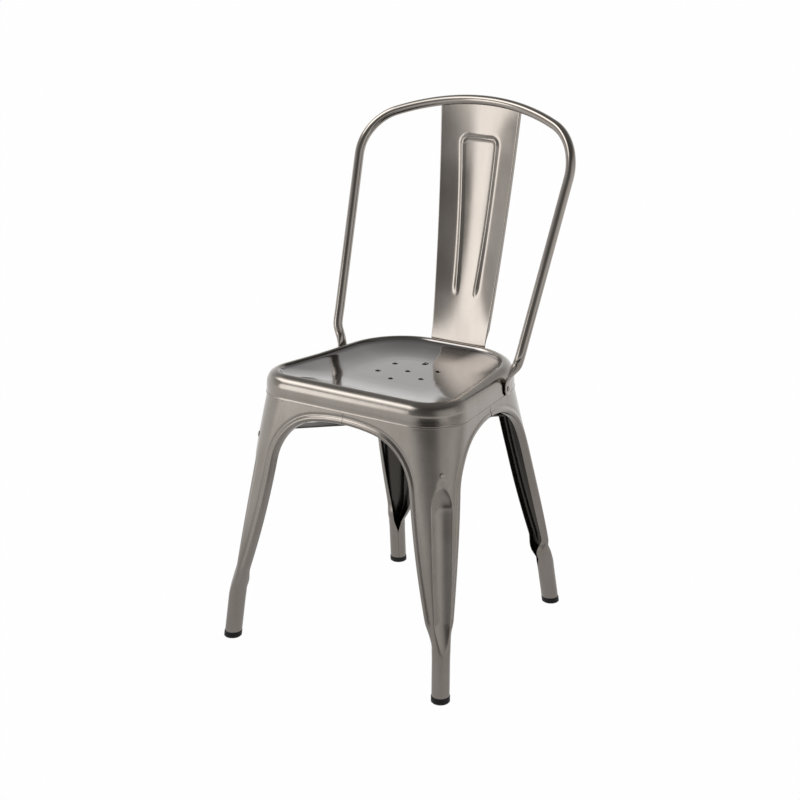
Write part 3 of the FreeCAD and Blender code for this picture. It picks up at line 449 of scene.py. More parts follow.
def polish_dish(skin, edge):
    """Gives the outer faces within the rim's inner edge the steel of the dish."""
    skin.data.materials.append(steels["dish"])
    polished = len(skin.data.materials) - 1
    reach = np.hypot(edge[:, 0], edge[:, 1])
    turns = np.arctan2(edge[:, 1], edge[:, 0])
    for face in skin.data.polygons:
        centre = face.center
        limit = np.interp(math.atan2(centre.y, centre.x), turns, reach, period=2 * math.pi)
        if face.material_index == 0 and math.hypot(centre.x, centre.y) < limit:
            face.material_index = polished


def seat_pan(material):
    rows = pan_points()
    points, faces, upside_down = pan_skin(rows)
    skin = piece(
        "seat_pan_skin", points, faces, "seat_pan", material,
        thickness=SHEET, flip=upside_down,
    )
    polish_dish(skin, placed(rows[DISH_EDGE_ROW]))


# Legs


class Leg:
    """Skin of a left leg: a flat face, a round corner and a flat side that taper to a tube."""

    def __init__(self, end):
        self.end = end
        self.face = NORMALS[end]
        self.turn = 1 if end == "front" else -1
        self.face_angle = -math.pi / 2 if end == "front" else math.pi / 2
        self.span = self.turn * (SIDE_TAPER - self.face_angle)
        self.foot = np.array([*FOOT[end], 0.0])
        self.top = corner_centre(end, LEG_INSET)[0]
        self.top_radius = SKIRT_CORNER[end] - LEG_INSET
        self.side_run = SIDE_RUN * -self.turn
        top_side = self.top + NORMALS["side"] * self.top_radius
        seam = top_side + SIDE_RUN * ((SIDE_SEAM_Y - top_side[1]) / SIDE_RUN[1])
        self.seam = SIDE_RUN * seam.dot(SIDE_RUN)

    def low_radius(self, z):
        """Radius of the leg's lower tube, which steps in a little under the lips."""
        return LOW_RADIUS + (TUBE_RADIUS - LOW_RADIUS) * eased((TUBE_STEP_TOP - z) / TUBE_STEP_RUN)

    def radius(self, z):
        """Radius of the corner."""
        share = max(z - TUBE_TOP, 0) / (SKIRT_BOTTOM - TUBE_TOP)
        return self.low_radius(z) + (self.top_radius - LOW_RADIUS) * share

    def reach(self, normal, z):
        """Distance of the flat face or the flat side from the chair's middle."""
        share = (SKIRT_BOTTOM - z) / SKIRT_BOTTOM
        start = self.top.dot(normal) + self.top_radius
        even = start + (self.foot.dot(normal) + LOW_RADIUS - start) * share
        return even + self.low_radius(z) - LOW_RADIUS

    def centre(self, z):
        """Centre of the corner."""
        radius = self.radius(z)
        y = self.face[1] * (self.reach(self.face, z) - radius)
        side = NORMALS["side"]
        return np.array([(self.reach(side, z) - radius - side[1] * y) / side[0], y, z])

    def corner_normal(self, turn):
        """Plan normal of the corner at a turn from the face."""
        return plan(self.face_angle + self.turn * turn)

    def girth(self, z):
        """Lengths round a section: of the flat face, the corner and the flat side."""
        centre = self.centre(z)
        return centre[0], self.span * self.radius(z), (centre - self.seam).dot(self.side_run)

    def skin(self, along, z):
        """Skin at a distance round the section from the face's seam, and its plan normal."""
        centre = self.centre(z)
        face, corner, _ = self.girth(z)
        if along <= face:
            return np.array([along, self.face[1] * self.reach(self.face, z), z]), self.face
        if along <= face + corner:
            normal = self.corner_normal((along - face) / self.radius(z))
            return centre + normal * self.radius(z), normal
        normal = NORMALS["side"]
        point = centre + normal * self.radius(z) - self.side_run * (along - face - corner)
        return point, normal

    def lean(self, normal, z):
        """The plan normal tipped square to the leaning skin."""
        slope = (self.centre(z - 1) - self.centre(z)).dot(normal)
        slope += self.radius(z - 1) - self.radius(z)
        tipped = np.array([normal[0], normal[1], slope])
        return tipped / np.linalg.norm(tipped)


def arch(radii, turns, steps):
    """An arch edge from its top as a run of tangent arcs: distance out, height and heading."""
    out, z, heading = HALF_SEAM, ARCH_TOP, 0.0
    stations = [(out, z, heading)]
    for radius, turn, count in zip(radii, turns, steps):
        part = turn / count
        chord = 2 * radius * math.sin(abs(part) / 2)
        for _ in range(count):
            out += chord * math.cos(heading - part / 2)
            z += chord * math.sin(heading - part / 2)
            heading -= part
            stations.append((out, z, heading))
    return stations


def leg_arch(end, place):
    """Stations of a leg's arch edge from its top down to the foot."""
    top_radius, top_turn, shoulder_radius, lean, slow_radius = ARCHES[(end, place)]
    top_turn, lean = math.radians(top_turn), math.radians(lean)
    shoulder_turn = math.pi / 2 - lean - top_turn
    radii = (top_radius, shoulder_radius, slow_radius)
    shoulder_foot = arch(radii, (top_turn, shoulder_turn), ARCH_STEPS)[-1][1]
    slow_turn = math.asin(math.sin(lean) + (shoulder_foot - LIP_END) / slow_radius) - lean
    stations = arch(radii, (top_turn, shoulder_turn, -slow_turn), ARCH_STEPS)
    low = stations[-1]
    return stations + [(low[0], z, low[2]) for z in np.linspace(LIP_END, TUBE_FOOT, 26)[1:]]


def merge_share(z):
    """How far the lip has opened into the wall of the tube."""
    return eased((LIP_MERGE_FROM - z) / (LIP_MERGE_FROM - LIP_MERGE_TO))


def rolled_lip(length):
    """Point at a length along the rolled lip: flange, round roll, then a valley to the panel."""
    straight = FLANGE_DEPTH + LIP_PROUD - LIP_RADIUS
    roll = LIP_RADIUS * (math.pi - LIP_ROLL_END)
    if length < straight:
        return 0.0, length - FLANGE_DEPTH
    if length < straight + roll:
        angle = math.pi - (length - straight) / LIP_RADIUS
        across = LIP_RADIUS * (1 + math.cos(angle))
        return across, LIP_PROUD - LIP_RADIUS + LIP_RADIUS * math.sin(angle)
    start_across = LIP_RADIUS * (1 + math.cos(LIP_ROLL_END))
    start_out = LIP_PROUD - LIP_RADIUS + LIP_RADIUS * math.sin(LIP_ROLL_END)
    reach = LIP_TAIL - start_across
    share = min((length - straight - roll) / reach, 1)
    slope = -reach / math.tan(LIP_ROLL_END)
    out = start_out * (1 + 2 * share) * (1 - share) ** 2 + slope * share * (1 - share) ** 2
    return start_across + reach * share, out


def tube_wall(length, radius, end):
    """Point at a length along the lip where it has opened into the wall of the round tube."""
    angle = end - length / radius
    if angle > math.pi / 2:
        return radius + radius * math.cos(angle), radius * math.sin(angle) - radius
    return radius + length - radius * (end - math.pi / 2), 0.0


def lip_profile(share, radius, tube_end):
    """Section of the lip from the flange's end to its tail, as distances across and out."""
    straight = FLANGE_DEPTH + LIP_PROUD - LIP_RADIUS
    roll = LIP_RADIUS * (math.pi - LIP_ROLL_END)
    tail = LIP_TAIL - LIP_RADIUS * (1 + math.cos(LIP_ROLL_END))
    lengths = list(np.linspace(0, straight, 5)[:-1])
    lengths += list(straight + np.linspace(0, roll, 11)[:-1])
    lengths += list(straight + roll + np.linspace(0, tail, 7))
    tube_length = radius * (tube_end - math.pi / 2) + LIP_TAIL - radius
    profile = []
    for step, length in enumerate(lengths):
        low = rolled_lip(length)
        high = tube_wall(tube_length * step / (len(lengths) - 1), radius, tube_end)
        profile.append((low[0] + (high[0] - low[0]) * share, low[1] + (high[1] - low[1]) * share))
    return profile


def lip_row(leg, place, station):
    """The lip's points at a station, and where its tail lies on the skin."""
    out, z, heading = station
    share = merge_share(z)
    radius = leg.radius(z)
    face, _, flat = leg.girth(z)
    tube_edge = (face if place == "face" else flat) - radius
    out += (tube_edge - out) * share
    away = (-math.sin(heading) * (1 - share) + share, math.cos(heading) * (1 - share))
    closed = math.pi / 2 + (2 * math.pi - leg.span) / 2
    shut = clamped((TUBE_TOP - z) / (TUBE_TOP - NOTCH_APEX))
    tube_end = LIP_TUBE_END + (closed - LIP_GAP_TURN - LIP_TUBE_END) * shut
    points = []
    for across, outward in lip_profile(share, radius, tube_end):
        along, height = out + across * away[0], z + across * away[1]
        whole = sum(leg.girth(height))
        point, normal = leg.skin(along if place == "face" else whole - along, height)
        points.append(point + leg.lean(normal, height) * outward)
    return points, (along, height)


def flute_bar(touch):
    """Heights along the corner, and the radius of the flute's round bar at each of them."""
    shares = np.linspace(0, 1, 9)[1:]
    fading = FLUTE_TOP - FLUTE_FULL_TO
    heights = [FLUTE_BOTTOM - FLUTE_RUN_OUT, FLUTE_FULL_FROM, FLUTE_FULL_TO]
    heights += [FLUTE_FULL_TO + fading * share for share in (*shares, FLUTE_TOP_RUN_OUT)]
    drop = FLUTE_DEPTH * FLUTE_RUN_OUT / (FLUTE_FULL_FROM - FLUTE_BOTTOM)
    radii = [touch - drop, FLUTE_RADIUS, FLUTE_RADIUS]
    radii += [touch + FLUTE_DEPTH * (math.cos(math.pi * share) + 1) / 2 for share in shares]
    return heights, radii + [touch - FLUTE_DEPTH * FLUTE_DRAW_BACK]


def press_flute(leg, points):
    """Pushes the points near the leg's outer corner in onto the flute's round bar."""
    bisector = leg.corner_normal(leg.span / 2)
    low = leg.centre(TUBE_TOP) + bisector * leg.radius(TUBE_TOP)
    high = leg.centre(SKIRT_BOTTOM) + bisector * leg.radius(SKIRT_BOTTOM)
    along = (high - low) / np.linalg.norm(high - low)
    outward = bisector - along * bisector.dot(along)
    outward /= np.linalg.norm(outward)
    touch = FLUTE_RADIUS - FLUTE_DEPTH
    offset = points - (low + outward * touch)
    distance = offset @ along
    radial = offset - distance[..., None] * along
    spread = np.linalg.norm(radial, axis=-1)
    inside = np.interp(low[2] + distance * along[2], *flute_bar(touch)) - spread
    push = 0.5 * (inside + np.sqrt(inside * inside + FLUTE_CREASE * FLUTE_CREASE))
    push *= np.clip((inside + FLUTE_REACH) / FLUTE_EASE, 0, 1)
    return points + radial / np.maximum(spread, 1)[..., None] * push[..., None]


def leg_grid(leg, columns=66):
    """Rows of points from the face's lip round the skin to the side's lip."""
    rows = []
    for face_station, side_station in zip(leg_arch(leg.end, "face"), leg_arch(leg.end, "side")):
        face_lip, (face_along, face_z) = lip_row(leg, "face", face_station)
        side_lip, (side_along, side_z) = lip_row(leg, "side", side_station)
        start = face_along / sum(leg.girth(face_z))
        end = 1 - side_along / sum(leg.girth(side_z))
        middle = []
        for share in np.linspace(0, 1, columns)[1:-1]:
            z = face_z + (side_z - face_z) * share
            middle.append(leg.skin((start + (end - start) * share) * sum(leg.girth(z)), z)[0])
        rows.append(face_lip + middle + side_lip[::-1])
    return np.array(rows)


def tuck_rows(leg, bottom, columns):
    """Rows of the band above the arches, which is tucked up inside the pan's skirt."""
    rows = []
    for z in np.linspace(LEG_TUCK_TOP, bottom, 4)[:-1]:
        width = sum(leg.girth(z)) - 2 * HALF_SEAM
        shares = np.linspace(0, 1, columns)
        rows.append([leg.skin(HALF_SEAM + width * share, z)[0] for share in shares])
    return np.array(rows)


def leg_shell(end, side, material):
    leg = Leg(end)
    rows = leg_grid(leg)
    edge = len(lip_profile(0, LOW_RADIUS, LIP_TUBE_END)) - 1
    columns = rows.shape[1] - 2 * edge
    top = tuck_rows(leg, rows[0, edge][2], columns)
    rows = press_flute(leg, rows)
    points = np.concatenate([rows.reshape(-1, 3), top.reshape(-1, 3)])
    start = rows.shape[0] * rows.shape[1]
    faces = grid_faces(*rows.shape[:2])
    faces += [tuple(start + i for i in face) for face in grid_faces(*top.shape[:2])]
    last = start + (len(top) - 1) * columns
    for index in range(columns - 1):
        below = edge + index
        faces.append((last + index, last + index + 1, below + 1, below))
    if side == "right":
        points[:, 0] *= -1
    flip = (side == "left") == (end == "front")
    name = end + "_" + side + "_leg"
    piece(name + "_skin", points, faces, name, material, SHEET, flip=flip)


# Back hoop


def hoop_geometry():
    """Centre of the corner bend and height of the top arc's centre, in the leaning plane."""
    bend = HOOP_HALF_WIDTH + HOOP_STRAIGHT * math.tan(HOOP_FLARE)
    corner_u = bend - HOOP_CORNER_RADIUS * math.cos(HOOP_FLARE)
    corner_v = HOOP_STRAIGHT + HOOP_CORNER_RADIUS * math.sin(HOOP_FLARE)
    reach = HOOP_TOP_RADIUS - HOOP_CORNER_RADIUS
    return corner_u, corner_v, corner_v - math.sqrt(reach * reach - corner_u * corner_u)


def on_hoop(u, v):
    """Point of the hoop's centre line from its place in the leaning plane."""
    corner_u, _, top_v = hoop_geometry()
    start_z = OVERALL_HEIGHT - HOOP_RADIUS - (top_v + HOOP_TOP_RADIUS) * math.cos(HOOP_LEAN)
    widest = corner_u + HOOP_CORNER_RADIUS
    bow = HOOP_BOW * (1 - (u / widest) ** 2) * clamped((v - HOOP_STRAIGHT) / HOOP_BOW_RUN)
    y = HOOP_START_Y + v * math.sin(HOOP_LEAN) + bow
    return np.array([u, y, start_z + v * math.cos(HOOP_LEAN)])


def hoop_top(x):
    """Point of the top arc's centre line."""
    top_v = hoop_geometry()[2]
    return on_hoop(x, top_v + math.sqrt(HOOP_TOP_RADIUS**2 - x * x))


def hoop_foot(start, normal):
    """Stations of the flattened foot: place, direction of the width, half width and thickness."""
    out = SIDE_NORMAL_DISTANCE + TAB_CLEARANCE + TAB_HALF_THICKNESS
    tab_x = (out - NORMALS["side"][1] * TAB_Y) / NORMALS["side"][0]
    stations = []
    for angle in np.linspace(*TAB_END_TURNS, 7):
        rise, width = TAB_HALF_WIDTH * math.sin(angle), TAB_HALF_WIDTH * math.cos(angle)
        stations.append([tab_x, TAB_Y, TAB_Z + rise, *SIDE_RUN, width, TAB_HALF_THICKNESS])
    for rise, share_out, share_back, width, thickness in HOOP_FOOT:
        x, y = tab_x + (start[0] - tab_x) * share_out, TAB_Y + (start[1] - TAB_Y) * share_back
        flat = SIDE_RUN * (1 - share_back) + normal * share_back
        stations.append([x, y, TAB_Z + rise, *flat, width, thickness])
    return stations


def hoop_tube():
    """Points of the +X half of the round tube's centre line, up to its top middle."""
    corner_u, corner_v, top_v = hoop_geometry()
    points = []
    for share in np.linspace(*HOOP_STRAIGHT_SHARES, 12):
        v = HOOP_STRAIGHT * share
        points.append(on_hoop(HOOP_HALF_WIDTH + v * math.tan(HOOP_FLARE), v))
    end = math.atan2(corner_v - top_v, corner_u)
    for angle in np.linspace(-HOOP_FLARE, end, 16):
        u = corner_u + HOOP_CORNER_RADIUS * math.cos(angle)
        points.append(on_hoop(u, corner_v + HOOP_CORNER_RADIUS * math.sin(angle)))
    for angle in np.linspace(end, math.pi / 2, 12)[1:]:
        u, v = HOOP_TOP_RADIUS * math.cos(angle), HOOP_TOP_RADIUS * math.sin(angle)
        points.append(on_hoop(u, top_v + v))
    return points


def hoop_stations():
    """Stations of the whole hoop from its +X foot over the top to its -X foot."""
    normal = np.array([0, math.cos(HOOP_LEAN), -math.sin(HOOP_LEAN)])
    tube = hoop_tube()
    keys = hoop_foot(tube[0], normal)
    keys += [[*point, *normal, HOOP_RADIUS, HOOP_RADIUS] for point in tube]
    half = smooth_rows(keys, 3)
    other = half[-2::-1].copy()
    other[:, [0, 3]] *= -1
    return np.concatenate([half, other])


def back_hoop(material, around=36):
    stations = hoop_stations()
    centres = stations[:, :3]
    rows = []
    for index, station in enumerate(stations):
        before, after = centres[max(index - 1, 0)], centres[min(index + 1, len(centres) - 1)]
        along = (after - before) / np.linalg.norm(after - before)
        inward = np.cross(along, station[3:6])
        inward /= np.linalg.norm(inward)
        wide = np.cross(inward, along)
        width, thickness = station[6] - TUBE_SKIN, station[7] - TUBE_SKIN
        power = 1 - FOOT_SQUARENESS * clamped(1 - thickness / HOOP_RADIUS)
        row = []
        for angle in np.linspace(0, 2 * math.pi, around, endpoint=False):
            c, s = math.cos(angle), math.sin(angle)
            across = math.copysign(abs(c) ** power, c) * width
            deep = math.copysign(abs(s) ** power, s) * thickness
            row.append(centres[index] + wide * across + inward * deep)
        rows.append(row)
    rows = np.array(rows)
    faces = grid_faces(len(rows), around, closed=True)
    faces.append(tuple(range(around - 1, -1, -1)))
    last = (len(rows) - 1) * around
    faces.append(tuple(range(last, last + around)))
    piece(
        "back_hoop_tube", rows.reshape(-1, 3), faces, "back_hoop", material, flip=True
    )


# Back splat


def splat_half_width(t):
    """Half width at a share of the height above the bend."""
    return SPLAT_BOTTOM_HALF_WIDTH + (SPLAT_TOP_HALF_WIDTH - SPLAT_BOTTOM_HALF_WIDTH) * max(t, 0)


def splat_top(x):
    """Point of the top edge, which follows the hoop."""
    return hoop_top(x) - np.array([0, SHEET / 2, HOOP_RADIUS + SPLAT_TOP_GAP])


def splat_front(x, t):
    """Front face of the splat. It bows back at the sides and is hollow towards the middle."""
    share = min(abs(x) / splat_half_width(t), 1)
    if t < 0:
        z = SPLAT_BEND_Z + (SPLAT_BEND_Z - SPLAT_FOOT_Z) * t
        back = SPLAT_REAR_Y - SPLAT_BEND_Y
        return np.array([x, SPLAT_BEND_Y + back * t * t * (3 + 2 * t), z])
    edge = splat_top(SPLAT_TOP_HALF_WIDTH)
    y = SPLAT_BEND_Y + (edge[1] - SPLAT_BEND_Y) * t + SPLAT_SIDE_BOW * 4 * t * (1 - t)
    hollow = (splat_top(0)[1] - edge[1]) * t + SPLAT_MID_HOLLOW * 4 * t * (1 - t)
    z = SPLAT_BEND_Z + (splat_top(share * SPLAT_TOP_HALF_WIDTH)[2] - SPLAT_BEND_Z) * t
    return np.array([x, y + hollow * (1 - share * share), z])


def bead_points():
    """Centre line of the +X half of the bead, from its foot to its top middle, as x and z."""
    splay = math.atan2(BEAD_TOP_HALF_WIDTH - BEAD_BOTTOM_HALF_WIDTH, BEAD_TOP - BEAD_BOTTOM)
    corner_z = BEAD_TOP - BEAD_CORNER_RADIUS
    corner_x = BEAD_TOP_HALF_WIDTH - BEAD_CORNER_RADIUS / math.cos(splay)
    corner_x -= BEAD_CORNER_RADIUS * math.tan(splay)
    spots = [(BEAD_BOTTOM_HALF_WIDTH, BEAD_BOTTOM)]
    for angle in np.linspace(-splay, math.pi / 2, 12):
        x = corner_x + BEAD_CORNER_RADIUS * math.cos(angle)
        spots.append((x, corner_z + BEAD_CORNER_RADIUS * math.sin(angle)))
    return np.array(spots + [(0.0, BEAD_TOP)])


def bead_height(x, z, line):
    """How far the bead stands out: a steep slope inside it and a broad soft one outside."""
    spot = np.array([abs(x), z])
    starts, runs = line[:-1], line[1:] - line[:-1]
    shares = np.clip(((spot - starts) * runs).sum(1) / (runs * runs).sum(1), 0, 1)
    gaps = starts + runs * shares[:, None] - spot
    away = np.linalg.norm(gaps, axis=1)
    nearest = away.argmin()
    inside = gaps[nearest] @ np.array([-runs[nearest][1], runs[nearest][0]]) < 0
    reach = BEAD_INNER_SLOPE if inside else BEAD_OUTER_SLOPE
    fade = clamped((z - BEAD_BOTTOM + BEAD_FADE_BELOW) / BEAD_FADE_RUN)
    return BEAD_HEIGHT * fade * math.exp(-((away[nearest] / reach) ** 2))


def fold_profile(grow):
    """Section of a side fold as distances out and back. It grows from nothing to the flange."""
    fold = []
    for angle in np.linspace(0, math.pi / 2, 6)[1:]:
        deep = SPLAT_FOLD_RADIUS * (1 - math.cos(angle))
        fold.append((SPLAT_FOLD_RADIUS * math.sin(angle), deep * grow))
    deepest = SPLAT_FOLD_RADIUS + (SPLAT_FLANGE - SPLAT_FOLD_RADIUS) * grow
    depths = np.linspace(SPLAT_FOLD_RADIUS, deepest, 5)[1:]
    return fold + [(SPLAT_FOLD_RADIUS, deep * grow) for deep in depths]


def splat_row(t, shares, line):
    """Row of points across the splat at a share of its height, with the folds at its ends."""
    width = splat_half_width(t) - SPLAT_FOLD_RADIUS
    low = splat_front(0, max(t - SPLAT_SLOPE_STEP, -1))
    high = splat_front(0, min(t + SPLAT_SLOPE_STEP, 1))
    run = (high - low) / np.linalg.norm(high - low)
    back = np.array([0, run[2], -run[1]])
    row = [splat_front(share * width, t) for share in shares]
    row = [p - back * bead_height(p[0], p[2], line) for p in row]
    fold = fold_profile(clamped(t * SPLAT_FOLD_GROWTH))
    right = [row[-1] + np.array([out, 0, 0]) + back * deep for out, deep in fold]
    left = [row[0] - np.array([out, 0, 0]) + back * deep for out, deep in fold[::-1]]
    return left + row + right


def back_splat(material):
    line = bead_points()
    shares = np.linspace(-1, 1, 126)
    heights = [*np.linspace(-1, 0, 12)[:-1], *np.linspace(0, 1, 190)]
    rows = np.array([splat_row(t, shares, line) for t in heights])
    faces = grid_faces(*rows.shape[:2])
    piece(
        "back_splat_sheet", rows.reshape(-1, 3), faces, "back_splat", material,
        thickness=SPLAT_SHEET, lining="splat",
    )


# Materials


def set_inputs(tree, node, values):
    """Sets inputs by name or number, to a value or to the output that feeds them."""
    for name, value in values.items():
        if isinstance(value, bpy.types.NodeSocket):
            tree.links.new(value, node.inputs[name])
        else:
            node.inputs[name].default_value = value


def add_node(tree, kind, values):
    node = tree.nodes.new(kind)
    set_inputs(tree, node, values)
    return node


def math_node(tree, operation, first, second):
    node = tree.nodes.new("ShaderNodeMath")
    node.operation = operation
    set_inputs(tree, node, {0: first, 1: second})
    return node.outputs[0]


def ranged(tree, value, start, end, low, high):
    """Turns values between start and end into values between low and high."""
    values = {"Value": value, "From Min": start, "From Max": end, "To Min": low, "To Max": high}
    return add_node(tree, "ShaderNodeMapRange", values).outputs["Result"]


def blend(tree, share, first, second):
    """Shows a share of the second shader over the first."""
    mix = add_node(tree, "ShaderNodeMixShader", {"Fac": share, 1: first, 2: second})
    tree.links.new(mix.outputs[0], tree.nodes["Material Output"].inputs["Surface"])


def new_material(name):
    material = bpy.data.materials.new(name)
    material.use_nodes = True
    return material, material.node_tree


def noise(tree, scale, detail, stretch=(1, 1, 1)):
    """Noise that rides on the piece, with its scale multiplied along each axis."""
    place = tree.nodes.new("ShaderNodeTexCoord").outputs["Object"]
    spread = add_node(tree, "ShaderNodeMapping", {"Vector": place, "Scale": stretch})
    values = {"Vector": spread.outputs["Vector"], "Scale": scale, "Detail": detail}
    return add_node(tree, "ShaderNodeTexNoise", values).outputs["Fac"]


def bumped(tree, values):
    return add_node(tree, "ShaderNodeBump", values).outputs["Normal"]


def tinted(tree, base, value, dark, light):
    """A colour made lighter and darker by noise. The dark parts are a little warmer."""
    ramp = add_node(tree, "ShaderNodeValToRGB", {"Fac": value})
    first, last = ramp.color_ramp.elements
    first.position, last.position = NOISE_RANGE
    first.color = (dark, dark * 0.985, dark * 0.97, 1)
    last.color = (light, light, light * 0.995, 1)
    shade = tree.nodes.new("ShaderNodeMix")
    shade.data_type = "RGBA"
    shade.blend_type = "MULTIPLY"
    set_inputs(tree, shade, {"Factor": 1.0, "A": base, "B": ramp.outputs["Color"]})
    return shade.outputs["Result"]


def steel(name, colour, roughness, wave=0.1, streak=0.5, blotch=0.5):
    """Bare steel under clear lacquer, with soft blotches, fine speckle and rolling marks."""
    material, tree = new_material(name)
    cloud = noise(tree, CLOUD_SCALE, 3)
    speckle = noise(tree, SPECKLE_SCALE, 2)
    marks = noise(tree, MARK_SCALE, 4, MARK_STRETCH)
    tint = tree.nodes.new("ShaderNodeRGB").outputs[0]
    tint.default_value = (*map(float, colour), 1)
    tint = tinted(tree, tint, cloud, 1 - 0.16 * blotch, 1 + 0.1 * blotch)
    tint = tinted(tree, tint, speckle, 1 - 0.1 * streak, 1 + 0.08 * streak)
    tint = tinted(tree, tint, marks, 1 - 0.08 * streak, 1 + 0.05 * streak)
    grain = {"Height": speckle, "Strength": 0.05 * streak, "Distance": 0.0004}
    ripple = {"Height": noise(tree, RIPPLE_SCALE, 1), "Strength": wave, "Distance": 0.002}
    rough = ranged(tree, cloud, *NOISE_RANGE, roughness - 0.05, roughness + 0.05)
    set_inputs(tree, tree.nodes["Principled BSDF"], {
        "Base Color": tint,
        "Metallic": 1.0,
        "Roughness": rough,
        "Coat Weight": 0.25,
        "Coat Roughness": 0.15,
        "Normal": bumped(tree, {**ripple, "Normal": bumped(tree, grain)}),
    })
    return material


def rubber(name):
    """Black rubber with a fine grain."""
    material, tree = new_material(name)
    grain = noise(tree, RUBBER_SCALE, 2)
    ramp = add_node(tree, "ShaderNodeValToRGB", {"Fac": grain})
    first, last = ramp.color_ramp.elements
    first.color = (0.008, 0.008, 0.009, 1)
    last.color = (0.02, 0.02, 0.023, 1)
    set_inputs(tree, tree.nodes["Principled BSDF"], {
        "Base Color": ramp.outputs["Color"],
        "Roughness": 0.5,
        "Specular IOR Level": 0.25,
        "Normal": bumped(tree, {"Height": grain, "Strength": 0.2, "Distance": 0.0003}),
    })
    return material


# Stage


def make_camera():
    turn, rise, roll = (math.radians(a) for a in (CAMERA_AZIMUTH, CAMERA_ELEVATION, CAMERA_ROLL))
    level = math.cos(rise)
    back = Vector((math.sin(turn) * level, -math.cos(turn) * level, math.sin(rise)))
    right = Vector((math.cos(turn), math.sin(turn), 0))
    up = back.cross(right)
    rolled_right = right * math.cos(roll) + up * math.sin(roll)
    rolled_up = up * math.cos(roll) - right * math.sin(roll)
    data = bpy.data.cameras.new("camera")
    data.sensor_width = SENSOR
    data.lens = FOCAL_PIXELS * SENSOR / IMAGE_SIZE
    data.shift_x = (IMAGE_SIZE / 2 - PRINCIPAL[0]) / IMAGE_SIZE
    data.shift_y = (PRINCIPAL[1] - IMAGE_SIZE / 2) / IMAGE_SIZE
    data.clip_end = 200
    camera = bpy.data.objects.new("camera", data)
    spin = Matrix((rolled_right, rolled_up, back)).transposed().to_4x4()
    camera.matrix_world = Matrix.Translation(Vector(placed([CAMERA_PLACE])[0])) @ spin
    bpy.context.scene.collection.objects.link(camera)
    bpy.context.scene.camera = camera


def seen_directly(tree):
    """1 for rays from the camera, a reflection or glass, and 0 for rays that carry light."""
    path = tree.nodes.new("ShaderNodeLightPath")
    total = path.outputs["Is Camera Ray"]
    for name in ("Is Glossy Ray", "Is Transmission Ray"):
        total = math_node(tree, "MAXIMUM", total, path.outputs[name])
    return total


def make_floor():
    """A pale floor that is all but white to the camera and in reflections."""
    mesh = bpy.data.meshes.new("floor")
    mesh.from_pydata([(x * FLOOR_HALF, y * FLOOR_HALF, 0) for x, y in SQUARE], [], [(0, 1, 2, 3)])
    floor = bpy.data.objects.new("floor", mesh)
    bpy.context.scene.collection.objects.link(floor)
    material, tree = new_material("floor")
    pale = tree.nodes["Principled BSDF"]
    set_inputs(tree, pale, {
        "Base Color": (0.85, 0.85, 0.85, 1),
        "Roughness": 0.9,
        "Specular IOR Level": 0.1,
    })
    white = add_node(tree, "ShaderNodeEmission", {"Color": (1, 1, 1, 1), "Strength": 1.0})
    share = math_node(tree, "MULTIPLY", seen_directly(tree), FLOOR_WHITE)
    blend(tree, share, pale.outputs[0], white.outputs[0])
    mesh.materials.append(material)


def towards(tree, direction):
    """Cosine of the angle between a part of the room and a direction."""
    dot = tree.nodes.new("ShaderNodeVectorMath")
    dot.operation = "DOT_PRODUCT"
    place = tree.nodes.new("ShaderNodeTexCoord").outputs["Generated"]
    set_inputs(tree, dot, {0: place, 1: direction})
    return dot.outputs["Value"]


def panel_glow(tree, azimuth, elevation, width, tall, level):
    """Glow of a light panel, even in its middle and falling off to its edges."""
    turn, up = math.radians(azimuth), math.radians(elevation)
    ahead = (math.cos(turn) * math.cos(up), math.sin(turn) * math.cos(up), math.sin(up))
    above = (-math.cos(turn) * math.sin(up), -math.sin(turn) * math.sin(up), math.cos(up))
    across = (-math.sin(turn), math.cos(turn), 0)
    fourths = []
    for direction, half in ((across, width), (above, tall)):
        part = math_node(tree, "DIVIDE", towards(tree, direction), half)
        part = math_node(tree, "MULTIPLY", part, part)
        fourths.append(math_node(tree, "MULTIPLY", part, part))
    away = math_node(tree, "MULTIPLY", math_node(tree, "ADD", *fourths), -1.0)
    glow = math_node(tree, "POWER", math.e, away)
    facing = math_node(tree, "GREATER_THAN", towards(tree, ahead), 0.0)
    return math_node(tree, "MULTIPLY", math_node(tree, "MULTIPLY", glow, facing), level)


def make_world():
    """A studio room: pale round the horizon, dim overhead, with soft-edged light panels."""
    world = bpy.data.worlds.new("studio")
    bpy.context.scene.world = world
    world.use_nodes = True
    tree = world.node_tree
    rise = add_node(tree, "ShaderNodeValToRGB", {"Fac": towards(tree, (0, 0, 1))})
    set_ramp(rise.color_ramp, ROOM_LEVELS)
    side = ranged(tree, towards(tree, BRIGHT_SIDE), *BRIGHT_RANGE, DARK_SIDE_SHARE, 1.0)
    total = math_node(tree, "MULTIPLY", rise.outputs["Color"], side)
    for panel in LIGHT_PANELS:
        total = math_node(tree, "ADD", total, panel_glow(tree, *panel))
    set_inputs(tree, tree.nodes["Background"], {"Color": (1, 1, 1, 1), "Strength": total})


def set_ramp(ramp, stops):
    """Grey stops of a colour ramp, as positions and levels."""
    while len(ramp.elements) < len(stops):
        ramp.elements.new(0.5)
    for element, (position, level) in zip(ramp.elements, stops):
        element.position = position
        element.color = (level, level, level, 1)


